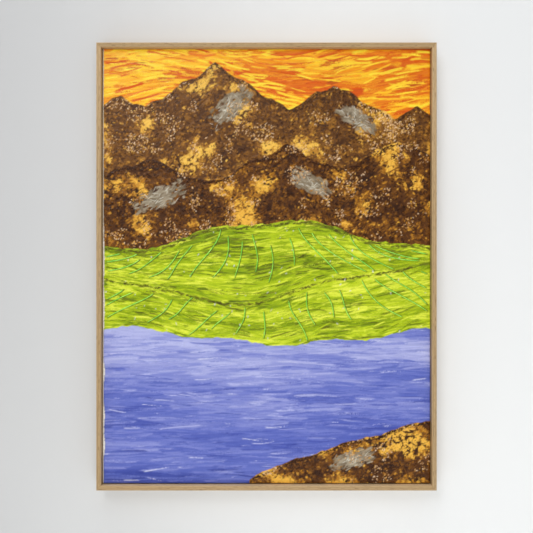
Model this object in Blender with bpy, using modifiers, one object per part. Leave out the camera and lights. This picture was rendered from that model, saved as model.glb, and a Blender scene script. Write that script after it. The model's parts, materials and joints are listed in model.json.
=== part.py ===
"""Framed painting: a painted, stretched canvas in a thin oak float frame that hangs on a wall.

Metres, +Z up. The front faces -Y and the wall is the plane Y = 0. The origin is the point where the wall's nail
carries the sawtooth hanger. Every piece is modelled round the middle of the frame and hangs from one empty, which
puts that middle below the nail.
"""

import math

import bmesh
import bpy
from mathutils import Vector

# Clearance between pieces that touch on the real object
TOUCH = 0.0003

# Canvas, with the sheet's thickness and the strip that is folded behind the bars
CANVAS_WIDTH = 0.460
CANVAS_HEIGHT = 0.610
SHEET = 0.0005
BACK_FOLD = 0.028
SHEET_BEND = 0.001
CANVAS_RISE = 0.0005

# Float frame: the rails' L section, seen from the end
FRAME_FACE = 0.0066
FRAME_DEPTH = 0.037
FLOAT_GAP = 0.0008
LEDGE_REACH = 0.0286
LEDGE_THICKNESS = 0.006
RAIL_ROUND = 0.0006
FRAME_WIDTH = CANVAS_WIDTH + 2 * (FLOAT_GAP + FRAME_FACE)
FRAME_HEIGHT = CANVAS_HEIGHT + 2 * (FLOAT_GAP + FRAME_FACE)

# Stretcher bars and the wedges in their corners
BAR_WIDTH = 0.038
BAR_DEPTH = 0.019
BAR_EASE = 0.0005
BAR_LIP = 0.004
BAR_LIP_RAMP = 0.002
BAR_SLOPE = 0.003
KEY_LENGTH = 0.028
KEY_WIDE = 0.012
KEY_NARROW = 0.006
KEY_SUNK = 0.008
KEY_THICKNESS = 0.003
KEY_LAYERS = (0.0045, 0.0095)

# Layers from the wall forward
BUMPER_HEIGHT = 0.0022
FRAME_BACK = -(BUMPER_HEIGHT + TOUCH)
FRAME_FRONT = FRAME_BACK - FRAME_DEPTH
LEDGE_FRONT = FRAME_BACK - LEDGE_THICKNESS
CANVAS_BACK = LEDGE_FRONT - TOUCH
BAR_BACK = CANVAS_BACK - SHEET - TOUCH
BAR_FRONT = BAR_BACK - BAR_DEPTH
CANVAS_FRONT = BAR_FRONT - TOUCH - SHEET

# Paint, as films between lines that cross the picture
PAINT_MARGIN = 0.001
PAINT_THICKNESS = 0.0006
PAINT_BACK = CANVAS_FRONT - TOUCH
LINE_STEP = 0.005

# Screws through the ledge into the bars
SCREW_HEAD_RADIUS = 0.0033
SCREW_SHANK_RADIUS = 0.0016
SCREW_LENGTH = 0.016
SCREW_TIP = 0.0012
SCREW_INSET = 0.018
SCREW_SPREAD = 0.29

# Bent steel fastener pressed into the back of each mitre
FASTENER_LEG = 0.007
FASTENER_THICKNESS = 0.0006
FASTENER_HEIGHT = 0.0045
FASTENER_INSET = 0.009

# Sawtooth hanger and its nails
HANGER_LENGTH = 0.060
HANGER_HEIGHT = 0.011
HANGER_THICKNESS = 0.0008
HANGER_LIFT = 0.0011
HANGER_FLAT = 0.011
HANGER_RAMP = 0.002
TOOTH_PITCH = 0.004
TOOTH_DEPTH = 0.0025
TEETH = 8
NAIL_HEAD_RADIUS = 0.0023
NAIL_HEAD_HEIGHT = 0.0008
NAIL_SHANK_RADIUS = 0.0007
NAIL_LENGTH = 0.005
NAIL_TIP = 0.001
NAIL_HOLE_ABOVE = 0.002

# Bumpers that hold the frame off the wall
BUMPER_RADIUS = 0.005
BUMPER_INSET_X = 0.034
BUMPER_INSET_Z = 0.011

# The wall nail sits this far below the top of the frame
NAIL_BELOW_TOP = 0.017
MIDDLE_Z = NAIL_BELOW_TOP - FRAME_HEIGHT / 2

SHARP_ANGLE = math.radians(40)
SIDE_ANGLES = {"left": 0, "top": 90, "right": 180, "bottom": 270}


def linear(red, green, blue):
    """Turn a colour of 0 to 255 steps, as seen, into the linear values a material takes."""
    steps = [channel / 255 for channel in (red, green, blue)]
    return [((s + 0.055) / 1.055) ** 2.4 if s > 0.04045 else s / 12.92 for s in steps] + [1.0]


def material(name, colour, roughness, metallic=0.0):
    """Make a plain material for one kind of piece."""
    made = bpy.data.materials.new(name)
    made.use_nodes = True
    shader = made.node_tree.nodes["Principled BSDF"]
    shader.inputs["Base Color"].default_value = linear(*colour)
    shader.inputs["Roughness"].default_value = roughness
    shader.inputs["Metallic"].default_value = metallic
    return made


def place(item, collection, parent, finish):
    """Put an object in its collection, hang it from the empty and give it its material."""
    for held in list(item.users_collection):
        held.objects.unlink(item)
    collection.objects.link(item)
    if parent is not None:
        item.parent = parent
    if finish is not None:
        item.data.materials.append(finish)
    return item


def arc(centre, radius, start, end, steps=3):
    """Points on an arc, in degrees, as a list of pairs."""
    angles = [math.radians(start + (end - start) * i / steps) for i in range(steps + 1)]
    return [(centre[0] + radius * math.cos(a), centre[1] + radius * math.sin(a)) for a in angles]


def evaluated_mesh(item):
    """The mesh of a curve, or of an object with its modifiers."""
    bpy.context.view_layer.update()
    return bpy.data.meshes.new_from_object(item.evaluated_get(bpy.context.evaluated_depsgraph_get()))


def prism(name, outline, thickness):
    """Make a mesh by extruding a flat outline in X and Y by a thickness that is centred on Z = 0."""
    curve = bpy.data.curves.new(name, "CURVE")
    curve.dimensions = "2D"
    curve.fill_mode = "BOTH"
    curve.extrude = thickness / 2
    spline = curve.splines.new("POLY")
    spline.points.add(len(outline) - 1)
    for point, (x, y) in zip(spline.points, outline):
        point.co = (x, y, 0, 1)
    spline.use_cyclic_u = True
    drawn = bpy.data.objects.new(name, curve)
    bpy.context.scene.collection.objects.link(drawn)
    mesh = evaluated_mesh(drawn)
    bpy.data.objects.remove(drawn)
    bpy.data.curves.remove(curve)
    shape = bmesh.new()
    shape.from_mesh(mesh)
    bmesh.ops.remove_doubles(shape, verts=shape.verts, dist=1e-6)
    bmesh.ops.recalc_face_normals(shape, faces=shape.faces)
    shape.to_mesh(mesh)
    shape.free()
    mesh.shade_flat()
    mesh.name = name
    made = bpy.data.objects.new(name, mesh)
    bpy.context.scene.collection.objects.link(made)
    return made


def upright_prism(name, outline, low_y, high_y):
    """Make a prism whose outline is in X and Z, between two depths."""
    made = prism(name, outline, high_y - low_y)
    made.rotation_euler = (math.pi / 2, 0, 0)
    made.location = (0, (low_y + high_y) / 2, 0)
    return made


def turned(name, profile, sides):
    """Turn a profile of radius and height pairs, listed top to bottom, about Z."""
    mesh = bpy.data.meshes.new(name)
    edges = [(i, i + 1) for i in range(len(profile) - 1)]
    mesh.from_pydata([(radius, 0, height) for radius, height in profile], edges, [])
    made = bpy.data.objects.new(name, mesh)
    bpy.context.scene.collection.objects.link(made)
    screw = made.modifiers.new("turn", "SCREW")
    screw.steps = sides
    screw.render_steps = sides
    screw.use_merge_vertices = True
    screw.merge_threshold = 0.00001
    made.data = evaluated_mesh(made)
    made.modifiers.clear()
    made.data.shade_smooth()
    made.data.set_sharp_from_angle(angle=SHARP_ANGLE)
    return made


def cut_mitres(bar, length):
    """Cut both ends of a bar that runs along Z, with its outer edge at X = 0, at 45 degrees."""
    shape = bmesh.new()
    shape.from_mesh(bar.data)
    for end in (1, -1):
        geometry = shape.verts[:] + shape.edges[:] + shape.faces[:]
        corner = Vector((0, 0, end * (length / 2 - TOUCH / math.sqrt(2))))
        cut = bmesh.ops.bisect_plane(
            shape, geom=geometry, plane_co=corner, plane_no=(1, 0, end), clear_outer=True
        )
        rim = [item for item in cut["geom_cut"] if isinstance(item, bmesh.types.BMEdge)]
        bmesh.ops.contextual_create(shape, geom=rim)
    bmesh.ops.recalc_face_normals(shape, faces=shape.faces)
    shape.to_mesh(bar.data)
    shape.free()


def mitred_bar(name, section, length, angle, outer_half):
    """Make one side of a mitred frame from its section, where X runs inward from the outer edge and Y is depth."""
    bar = prism(name, section, length)
    cut_mitres(bar, length)
    turn = math.radians(angle)
    bar.rotation_euler = (0, turn, 0)
    bar.location = (-outer_half * math.cos(turn), 0, outer_half * math.sin(turn))
    return bar


def cut(piece, cutter):
    """Take a cutter's shape out of a piece with a live Boolean."""
    taken = piece.modifiers.new(cutter.name, "BOOLEAN")
    taken.operation = "DIFFERENCE"
    taken.solver = "EXACT"
    taken.object = cutter


def as_cutter(item, cutters, parent):
    """File an object away as a cutter, which shows as a wire and is not part of the object."""
    place(item, cutters, parent, None)
    item.hide_render = True
    item.display_type = "WIRE"
    return item


def rail_section():
    """The rail's L section: a thin upright wall with rounded front edges, and the ledge at the back."""
    front = FRAME_FRONT + RAIL_ROUND
    return (
        [(0, FRAME_BACK), (0, front)]
        + arc((RAIL_ROUND, front), RAIL_ROUND, 180, 270)[1:]
        + arc((FRAME_FACE - RAIL_ROUND, front), RAIL_ROUND, 270, 360)
        + [(FRAME_FACE, LEDGE_FRONT), (LEDGE_REACH, LEDGE_FRONT), (LEDGE_REACH, FRAME_BACK)]
    )


def bar_section():
    """The stretcher bar's section: full depth at the outer lip, then sloping away from the canvas."""
    return [
        (0, BAR_BACK),
        (0, BAR_FRONT + BAR_EASE),
        (BAR_EASE, BAR_FRONT),
        (BAR_LIP, BAR_FRONT),
        (BAR_LIP + BAR_LIP_RAMP, BAR_FRONT + BAR_SLOPE / 2),
        (BAR_WIDTH, BAR_FRONT + BAR_SLOPE),
        (BAR_WIDTH, BAR_BACK),
    ]


def screw_profile(grow=0.0):
    """A countersunk screw's profile from its head's top down, grown all round where it is a cutter."""
    head = SCREW_HEAD_RADIUS + grow
    shank = SCREW_SHANK_RADIUS + grow
    return [
        (0, grow),
        (head, grow),
        (head, -TOUCH),
        (shank, -TOUCH - (head - shank)),
        (shank, SCREW_TIP - SCREW_LENGTH - grow),
        (0, -SCREW_LENGTH - grow),
    ]


def nail_profile(grow=0.0):
    """A small round-headed nail's profile, whose height 0 is the underside of its head."""
    shank = NAIL_SHANK_RADIUS + grow
    head = [
        (0, NAIL_HEAD_HEIGHT),
        (NAIL_HEAD_RADIUS * 0.8, NAIL_HEAD_HEIGHT),
        (NAIL_HEAD_RADIUS, NAIL_HEAD_HEIGHT * 0.4),
        (NAIL_HEAD_RADIUS, 0),
        (shank, 0),
    ]
    if grow > 0:
        head = [(0, NAIL_HOLE_ABOVE), (shank, NAIL_HOLE_ABOVE)]
    return head + [(shank, NAIL_TIP - NAIL_LENGTH), (0, -NAIL_LENGTH - grow)]


def stand_on_back(item, x, y, z):
    """Turn a piece made along Z so that its top faces the wall, and put it at a place."""
    item.rotation_euler = (-math.pi / 2, 0, 0)
    item.location = (x, y, z)


def make_rails(parts, middle, oak):
    """The four oak rails of the float frame."""
    rails = {}
    for side, angle in SIDE_ANGLES.items():
        upright = side in ("left", "right")
        length = FRAME_HEIGHT if upright else FRAME_WIDTH
        outer = (FRAME_WIDTH if upright else FRAME_HEIGHT) / 2
        rail = mitred_bar("frame_rail_" + side, rail_section(), length, angle, outer)
        rails[side] = place(rail, parts, middle, oak)
    return rails


def make_stretcher(parts, middle, pine):
    """The four pine bars that the canvas is stretched over."""
    width = CANVAS_WIDTH - 2 * (SHEET + TOUCH)
    height = CANVAS_HEIGHT - 2 * (SHEET + TOUCH)
    bars = {}
    for side, angle in SIDE_ANGLES.items():
        upright = side in ("left", "right")
        length = height if upright else width
        outer = (width if upright else height) / 2
        bar = mitred_bar("stretcher_bar_" + side, bar_section(), length, angle, outer)
        bar.location.z += CANVAS_RISE
        bars[side] = place(bar, parts, middle, pine)
    return bars


def key_outline(corner, signs, along_upright, grow=0.0):
    """A wedge's outline at an inner corner of the bars: its straight edge on one bar, its thin end in the other."""
    near = TOUCH - grow
    thin = -KEY_SUNK - grow
    broad = KEY_LENGTH - KEY_SUNK
    shape = [(near, thin), (TOUCH + KEY_NARROW + grow, thin), (TOUCH + KEY_WIDE + grow, broad), (near, broad)]
    if not along_upright:
        shape = [(b, a) for a, b in shape]
    return [(corner[0] + signs[0] * a, corner[1] + signs[1] * b) for a, b in shape]


def make_keys(parts, cutters, middle, wood, bars):
    """Two wedges at each corner of the stretcher, in slots at two depths."""
    reach_x = CANVAS_WIDTH / 2 - SHEET - TOUCH - BAR_WIDTH
    reach_z = CANVAS_HEIGHT / 2 - SHEET - TOUCH - BAR_WIDTH
    for row, sign_z in (("bottom", 1), ("top", -1)):
        for column, sign_x in (("left", 1), ("right", -1)):
            corner = (-sign_x * reach_x, -sign_z * reach_z + CANVAS_RISE)
            for along_upright, depth in zip((True, False), KEY_LAYERS):
                bar = bars[row if along_upright else column]
                name = "key_" + row + "_" + column + ("_a" if along_upright else "_b")
                back = BAR_BACK - depth
                front = back - KEY_THICKNESS
                outline = key_outline(corner, (sign_x, sign_z), along_upright)
                place(upright_prism(name, outline, front, back), parts, middle, wood)
                slot = key_outline(corner, (sign_x, sign_z), along_upright, TOUCH)
                cutter = upright_prism(name + "_slot", slot, front - TOUCH, back + TOUCH)
                cut(bar, as_cutter(cutter, cutters, middle))


def make_canvas(parts, middle, cloth):
    """The canvas: one sheet over the front, round the four sides and folded in behind the bars."""
    mesh = bpy.data.meshes.new("canvas")
    shape = bmesh.new()
    bmesh.ops.create_cube(shape, size=1.0)
    for vertex in shape.verts:
        depth = CANVAS_BACK if vertex.co.y > 0 else CANVAS_FRONT
        vertex.co = (vertex.co.x * CANVAS_WIDTH, depth, vertex.co.z * CANVAS_HEIGHT + CANVAS_RISE)
    back = [face for face in shape.faces if face.normal.y > 0.5]
    bmesh.ops.inset_region(shape, faces=back, thickness=BACK_FOLD)
    bmesh.ops.delete(shape, geom=back, context="FACES")
    shape.to_mesh(mesh)
    shape.free()
    canvas = bpy.data.objects.new("canvas", mesh)
    bend = canvas.modifiers.new("bend", "BEVEL")
    bend.width = SHEET_BEND
    bend.segments = 2
    bend.limit_method = "ANGLE"
    bend.angle_limit = math.radians(60)
    sheet = canvas.modifiers.new("sheet", "SOLIDIFY")
    sheet.thickness = SHEET
    sheet.offset = -1
    sheet.use_even_offset = True
    return place(canvas, parts, middle, cloth)


def screw_places():
    """Where the screws go: two through each side's ledge, as side, x and z."""
    inner_x = FRAME_WIDTH / 2 - SCREW_INSET
    inner_z = FRAME_HEIGHT / 2 - SCREW_INSET
    places = []
    for end in (-1, 1):
        places.append(("left", -inner_x, end * SCREW_SPREAD * FRAME_HEIGHT))
        places.append(("right", inner_x, end * SCREW_SPREAD * FRAME_HEIGHT))
        places.append(("top", end * SCREW_SPREAD * FRAME_WIDTH, inner_z))
        places.append(("bottom", end * SCREW_SPREAD * FRAME_WIDTH, -inner_z))
    return places


def make_screws(parts, cutters, middle, steel, held):
    """Countersunk screws that hold the canvas on the ledge, with their holes in ledge, canvas and bars."""
    counts = {}
    for side, x, z in screw_places():
        counts[side] = counts.get(side, 0) + 1
        name = "screw_" + side + "_" + str(counts[side])
        screw = turned(name, screw_profile(), 12)
        stand_on_back(screw, x, FRAME_BACK - TOUCH, z)
        place(screw, parts, middle, steel)
        hole = turned(name + "_hole", screw_profile(TOUCH), 12)
        stand_on_back(hole, x, FRAME_BACK, z)
        as_cutter(hole, cutters, middle)
        for piece in held(side):
            cut(piece, hole)


def make_mitre_fasteners(parts, cutters, middle, steel, rails):
    """A bent steel fastener flush with the back of each mitre, one leg in each rail."""
    for row, sign_z in (("bottom", 1), ("top", -1)):
        for column, sign_x in (("left", 1), ("right", -1)):
            apex = (
                -sign_x * (FRAME_WIDTH / 2 - FASTENER_INSET),
                -sign_z * (FRAME_HEIGHT / 2 - FASTENER_INSET),
            )
            for grow in (0.0, TOUCH):
                low = -grow
                thick = FASTENER_THICKNESS + grow
                leg = FASTENER_LEG + grow
                bent = [(low, low), (leg, low), (leg, thick), (thick, thick), (thick, leg), (low, leg)]
                outline = [(apex[0] + sign_x * a, apex[1] + sign_z * b) for a, b in bent]
                name = "mitre_fastener_" + row + "_" + column
                back = FRAME_BACK + grow
                if grow:
                    slot = upright_prism(name + "_slot", outline, FRAME_BACK - FASTENER_HEIGHT - grow, back)
                    as_cutter(slot, cutters, middle)
                    cut(rails[row], slot)
                    cut(rails[column], slot)
                else:
                    fastener = upright_prism(name, outline, FRAME_BACK - FASTENER_HEIGHT, back)
                    place(fastener, parts, middle, steel)


def hanger_section():
    """The hanger seen from its edge: flat on the wood at both ends and lifted clear of it between them."""
    half = HANGER_LENGTH / 2
    low = FRAME_BACK + TOUCH
    high = low + HANGER_LIFT
    bend = half - HANGER_FLAT
    inner = bend - HANGER_RAMP
    under = [(-half, low), (-bend, low), (-inner, high), (inner, high), (bend, low), (half, low)]
    over = [(x, y + HANGER_THICKNESS) for x, y in reversed(under)]
    return under + over


def tooth_outline():
    """The zigzag that is cut out of the hanger's lower edge, in X and in height above the wall nail's point."""
    start = -TOOTH_PITCH * (TEETH // 2 + 0.5)
    low = -2 * TOOTH_DEPTH
    points = [(start, low)]
    for tooth in range(TEETH + 1):
        points.append((start + tooth * TOOTH_PITCH, -TOOTH_DEPTH))
        points.append((start + (tooth + 0.5) * TOOTH_PITCH, 0))
    points.append((start + (TEETH + 1) * TOOTH_PITCH, -TOOTH_DEPTH))
    points.append((start + (TEETH + 1) * TOOTH_PITCH, low))
    return points


def make_hanger(parts, cutters, middle, brass, rail):
    """The sawtooth hanger at the top of the back, with its two nails."""
    nail_z = -MIDDLE_Z
    hanger = prism("sawtooth_hanger", hanger_section(), HANGER_HEIGHT)
    hanger.location = (0, 0, nail_z - TOOTH_DEPTH + HANGER_HEIGHT / 2)
    place(hanger, parts, middle, brass)
    outline = [(x, z + nail_z) for x, z in tooth_outline()]
    teeth = upright_prism("hanger_teeth", outline, FRAME_BACK, FRAME_BACK + 2 * BUMPER_HEIGHT)
    cut(hanger, as_cutter(teeth, cutters, middle))
    under_head = FRAME_BACK + TOUCH + HANGER_THICKNESS + TOUCH
    for side, sign in (("left", -1), ("right", 1)):
        x = sign * (HANGER_LENGTH - HANGER_FLAT) / 2
        z = nail_z - TOOTH_DEPTH + HANGER_HEIGHT / 2
        nail = turned("hanger_nail_" + side, nail_profile(), 12)
        stand_on_back(nail, x, under_head, z)
        place(nail, parts, middle, brass)
        hole = turned("hanger_nail_" + side + "_hole", nail_profile(TOUCH), 12)
        stand_on_back(hole, x, under_head, z)
        as_cutter(hole, cutters, middle)
        cut(hanger, hole)
        cut(rail, hole)


def make_bumpers(parts, middle, rubber):
    """Four round bumpers that rest on the wall."""
    top = BUMPER_HEIGHT
    profile = [(0, top), (BUMPER_RADIUS * 0.6, top), (BUMPER_RADIUS * 0.88, top * 0.72), (BUMPER_RADIUS, 0), (0, 0)]
    for row, sign_z in (("bottom", -1), ("top", 1)):
        for column, sign_x in (("left", -1), ("right", 1)):
            bumper = turned("wall_bumper_" + row + "_" + column, profile, 20)
            x = sign_x * (FRAME_WIDTH / 2 - BUMPER_INSET_X)
            z = sign_z * (FRAME_HEIGHT / 2 - BUMPER_INSET_Z)
            stand_on_back(bumper, x, FRAME_BACK + TOUCH, z)
            place(bumper, parts, middle, rubber)


def peaks(x, summits):
    """Height at x of a skyline made of straight-sided peaks, each a summit's x, height and slope."""
    return max(height - slope * abs(x - middle) for middle, height, slope in summits)


def wave(x, level, *swells):
    """Height at x of a rolling line: a level and swells, each a height, a length and a shift."""
    return level + sum(rise * math.sin(2 * math.pi * (x - shift) / span) for rise, span, shift in swells)


def far_skyline(x):
    """The line between the sky and the far range."""
    summits = ((-0.204, 0.238, 0.45), (-0.072, 0.284, 0.62), (0.094, 0.255, 0.56), (0.212, 0.222, 0.40))
    return peaks(x, summits) + wave(x, 0, (0.0025, 0.047, 0.01))


def near_skyline(x):
    """The line between the far range and the near one."""
    summits = ((-0.168, 0.152, 0.42), (0.028, 0.170, 0.48), (0.186, 0.176, 0.50))
    return peaks(x, summits) + wave(x, 0, (0.003, 0.061, 0.02))


def back_hill_line(x):
    """The line where the near range meets the further hills."""
    return wave(x, 0.043, (0.020, 0.47, -0.10), (0.004, 0.15, 0.03))


def front_hill_line(x):
    """The crest of the nearer hills."""
    return wave(x, -0.020, (0.027, 0.60, 0.10), (0.005, 0.21, 0.02))


def shoreline(x):
    """The line where the nearer hills meet the water."""
    return wave(x, -0.098, (0.012, 0.53, 0.16), (0.0035, 0.13, 0.05))


def bank_line(x):
    """The top of the bank in the lower right corner, which rises out of the picture's bottom edge."""
    rise = max(0.0, min(1.0, (x + 0.030) / 0.26))
    return -CANVAS_HEIGHT / 2 + 0.088 * rise**0.75 + wave(x, 0, (0.003 * rise, 0.09, 0.0))


def top_edge(_):
    """The top of the painted area, above the middle of the canvas."""
    return CANVAS_HEIGHT / 2 - PAINT_MARGIN


def bottom_edge(_):
    """The bottom of the painted area."""
    return -CANVAS_HEIGHT / 2 + PAINT_MARGIN


def water_edge(x):
    """The lower edge of the water: the bank, or the bottom of the picture."""
    return max(bottom_edge(x), bank_line(x) + TOUCH / 2)


def paint_film(name, lower, upper, left):
    """One colour's film of paint between two lines, from a left limit to the right edge of the picture."""
    right = CANVAS_WIDTH / 2 - PAINT_MARGIN
    count = math.ceil((right - left) / LINE_STEP)
    xs = [left + (right - left) * i / count for i in range(count + 1)]
    over = [(x, upper(x) - TOUCH / 2 + CANVAS_RISE) for x in xs]
    under = [(x, lower(x) + TOUCH / 2 + CANVAS_RISE) for x in reversed(xs)]
    return upright_prism(name, over + under, PAINT_BACK - PAINT_THICKNESS, PAINT_BACK)


def make_paint(parts, middle):
    """The picture: films of acrylic paint, one for each field of colour."""
    left = -CANVAS_WIDTH / 2 + PAINT_MARGIN
    fields = (
        ("paint_sky", far_skyline, top_edge, left, (246, 160, 48), 0.35),
        ("paint_far_range", near_skyline, far_skyline, left, (128, 96, 62), 0.5),
        ("paint_near_range", back_hill_line, near_skyline, left, (84, 58, 40), 0.5),
        ("paint_back_hills", front_hill_line, back_hill_line, left, (146, 158, 38), 0.35),
        ("paint_front_hills", shoreline, front_hill_line, left, (188, 198, 34), 0.35),
        ("paint_water", water_edge, shoreline, left, (104, 112, 194), 0.4),
        ("paint_bank", bottom_edge, bank_line, -0.024, (96, 66, 44), 0.5),
    )
    for name, lower, upper, start, colour, roughness in fields:
        film = paint_film(name, lower, upper, start)
        place(film, parts, middle, material(name, colour, roughness))


def main():
    """Clear the scene and build the framed painting."""
    for item in list(bpy.data.objects):
        bpy.data.objects.remove(item)
    parts = bpy.data.collections.new("framed_painting")
    cutters = bpy.data.collections.new("cutters")
    bpy.context.scene.collection.children.link(parts)
    bpy.context.scene.collection.children.link(cutters)
    middle = bpy.data.objects.new("middle_of_frame", None)
    middle.location = (0, 0, MIDDLE_Z)
    parts.objects.link(middle)

    oak = material("oak", (180, 151, 110), 0.55)
    pine = material("pine", (222, 192, 148), 0.7)
    wedge_wood = material("wedge_wood", (205, 176, 134), 0.7)
    cloth = material("primed_canvas", (238, 236, 230), 0.8)
    steel = material("zinc_steel", (190, 192, 195), 0.35, 1.0)
    brass = material("brassed_steel", (196, 168, 104), 0.35, 1.0)
    rubber = material("bumper_rubber", (205, 205, 200), 0.45)

    rails = make_rails(parts, middle, oak)
    bars = make_stretcher(parts, middle, pine)
    make_keys(parts, cutters, middle, wedge_wood, bars)
    canvas = make_canvas(parts, middle, cloth)
    make_screws(parts, cutters, middle, steel, lambda side: (rails[side], canvas, bars[side]))
    make_mitre_fasteners(parts, cutters, middle, steel, rails)
    make_hanger(parts, cutters, middle, brass, rails["top"])
    make_bumpers(parts, middle, rubber)
    make_paint(parts, middle)


main()
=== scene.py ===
"""Looks of a framed painting: a painted, stretched canvas in a thin oak float frame on a pale wall.

Metres, +Z up. The front faces -Y, the wall is the plane Y = 0, and the origin is where the wall's nail carries the
hanging plate. Each sub-assembly is a class that builds and dresses its pieces, and main() builds them in order.
"""

import sys

import json
import logging
import math
from collections.abc import Callable, Iterator, Sequence
from contextlib import contextmanager
from dataclasses import dataclass, field
from enum import Enum
from functools import reduce

import bmesh
import bpy
import numpy as np
from mathutils import Matrix, Vector

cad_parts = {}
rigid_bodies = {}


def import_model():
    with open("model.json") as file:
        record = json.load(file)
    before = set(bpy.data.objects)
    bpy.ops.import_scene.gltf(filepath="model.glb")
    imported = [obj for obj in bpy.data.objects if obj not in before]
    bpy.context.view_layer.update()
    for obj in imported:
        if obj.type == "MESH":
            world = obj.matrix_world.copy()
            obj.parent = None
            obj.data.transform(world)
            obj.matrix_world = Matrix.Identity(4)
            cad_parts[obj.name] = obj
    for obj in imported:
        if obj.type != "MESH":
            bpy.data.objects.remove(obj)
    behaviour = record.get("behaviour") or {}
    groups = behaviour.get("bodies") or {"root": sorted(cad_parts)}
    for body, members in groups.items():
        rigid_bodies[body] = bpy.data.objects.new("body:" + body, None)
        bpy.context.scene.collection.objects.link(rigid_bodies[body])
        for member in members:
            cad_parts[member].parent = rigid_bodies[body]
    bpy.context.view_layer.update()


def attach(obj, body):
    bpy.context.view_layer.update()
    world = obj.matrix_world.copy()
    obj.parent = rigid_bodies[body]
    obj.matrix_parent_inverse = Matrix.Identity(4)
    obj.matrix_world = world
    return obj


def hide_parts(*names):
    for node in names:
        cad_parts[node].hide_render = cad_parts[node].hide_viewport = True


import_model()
LOG = logging.getLogger("framed_painting")

# Outer sizes that the sub-assemblies share
CANVAS_WIDTH = 0.460
CANVAS_HEIGHT = 0.610
FRAME_WIDTH = 0.4748
FRAME_HEIGHT = 0.6248
BAR_LENGTH_ALLOWANCE = 0.0016
TOUCH = 0.0003

# A face whose normal lies at least this close to an axis counts as a flat
FLAT_NORMAL = 0.985

# Heights of the middles of the frame and of the canvas, below the wall's nail
FRAME_MIDDLE = -0.2954
CANVAS_MIDDLE = -0.2949

# Layers from the wall forward
FRAME_BACK = -0.0025
LEDGE_FRONT = -0.0085
CANVAS_BACK = -0.0088
BAR_BACK = -0.0096
BAR_FRONT = -0.0286
CANVAS_FRONT = -0.0294
FRAME_FRONT = -0.0395

# The four corners: row, column, and the signs of x and z from the middle
CORNERS = (("bottom", "left", -1, -1), ("bottom", "right", 1, -1), ("top", "left", -1, 1), ("top", "right", 1, 1))

Piece = bpy.types.Object
Node = bpy.types.Node
Socket = bpy.types.NodeSocket
Sockets = bpy.types.NodeOutputs
Feed = float | Sequence[float] | Socket
Feeds = dict[str | int, Feed]
Colour = tuple[int, int, int]
Pair = tuple[float, float]
Test = Callable[[Vector, Vector], bool]
Paints = Callable[[], tuple[np.ndarray, np.ndarray]]


class Element(Enum):
    """What is selected in edit mode."""

    VERTEX = "VERT"
    EDGE = "EDGE"
    FACE = "FACE"


class Grain(Enum):
    """Which way a piece's grain runs, as the turn about Y that brings it upright."""

    UPRIGHT = 0.0
    LEVEL = -math.pi / 2


class Side(Enum):
    """The four sides of the frame, each with the turn about Y that takes the left one to it, in degrees."""

    LEFT = 0
    TOP = 90
    RIGHT = 180
    BOTTOM = 270

    @property
    def label(self) -> str:
        """The side's name in a piece's name."""
        return self.name.lower()

    @property
    def upright(self) -> bool:
        """Whether the side stands upright."""
        return self in (Side.LEFT, Side.RIGHT)

    @property
    def grain(self) -> Grain:
        """Which way the grain of the side's wood runs."""
        return Grain.UPRIGHT if self.upright else Grain.LEVEL

    def matrix(self, width: float, height: float, middle: float) -> Matrix:
        """Place a bar that was made for the left side, with its outer edge at X = 0, on this side.

        Args:
            width: The outer width that the four bars make.
            height: The outer height.
            middle: Height of the middle of the four bars.

        Returns:
            The matrix that takes the bar there.
        """
        turn = math.radians(self.value)
        outer = (width if self.upright else height) / 2
        place = Vector((-outer * math.cos(turn), 0, middle + outer * math.sin(turn)))
        return Matrix.Translation(place) @ Matrix.Rotation(turn, 4, "Y")


def seen(*channels: int) -> tuple[float, ...]:
    """Turn a colour as the eye sees it, from 0 to 255, into the linear values that a shader takes."""
    steps = [channel / 255 for channel in channels]
    return tuple(((s + 0.055) / 1.055) ** 2.4 if s > 0.04045 else s / 12.92 for s in steps)


def opaque(*channels: int) -> tuple[float, ...]:
    """Give a seen colour as a socket's four linear values."""
    return (*seen(*channels), 1.0)


# Modelling by hand


def deselect() -> None:
    """Leave edit mode and deselect every object."""
    if bpy.context.object is not None and bpy.context.object.mode != "OBJECT":
        bpy.ops.object.mode_set(mode="OBJECT")
    bpy.ops.object.select_all(action="DESELECT")


def hold(piece: Piece) -> None:
    """Make a piece the only selected object, and the active one.

    Args:
        piece: The piece.
    """
    deselect()
    piece.select_set(True)
    bpy.context.view_layer.objects.active = piece


@contextmanager
def editing(piece: Piece) -> Iterator[None]:
    """Hold a piece in edit mode, with nothing on it selected.

    Args:
        piece: The piece.

    Yields:
        Nothing; the piece is in edit mode meanwhile.
    """
    hold(piece)
    bpy.ops.object.mode_set(mode="EDIT")
    bpy.ops.mesh.select_all(action="DESELECT")
    yield
    bpy.ops.object.mode_set(mode="OBJECT")


def pick(piece: Piece, element: Element, test: Test) -> None:
    """Select, in edit mode, what passes a test, and nothing else.

    Args:
        piece: The piece in edit mode.
        element: Whether vertices, edges or faces are tested.
        test: Takes an element's middle and its normal, or an edge's direction.
    """
    bpy.ops.mesh.select_mode(type=element.value)
    bpy.ops.mesh.select_all(action="DESELECT")
    mesh = bmesh.from_edit_mesh(piece.data)
    if element is Element.VERTEX:
        found = [item for item in mesh.verts if test(item.co, item.normal)]
    elif element is Element.EDGE:
        ends = [(item, *(vertex.co for vertex in item.verts)) for item in mesh.edges]
        found = [item for item, a, b in ends if test((a + b) / 2, (b - a).normalized())]
    else:
        found = [item for item in mesh.faces if test(item.calc_center_median(), item.normal)]
    for item in found:
        item.select_set(True)
    mesh.select_flush_mode()
    bmesh.update_edit_mesh(piece.data)


def cut_plane(point: Sequence[float], normal: Sequence[float], drop: bool = False) -> None:
    """Cut the mesh in edit mode along a plane and, for drop, take away and close what lies on the normal's side."""
    bpy.ops.mesh.select_all(action="SELECT")
    bpy.ops.mesh.bisect(plane_co=point, plane_no=normal, use_fill=drop, clear_outer=drop)


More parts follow.
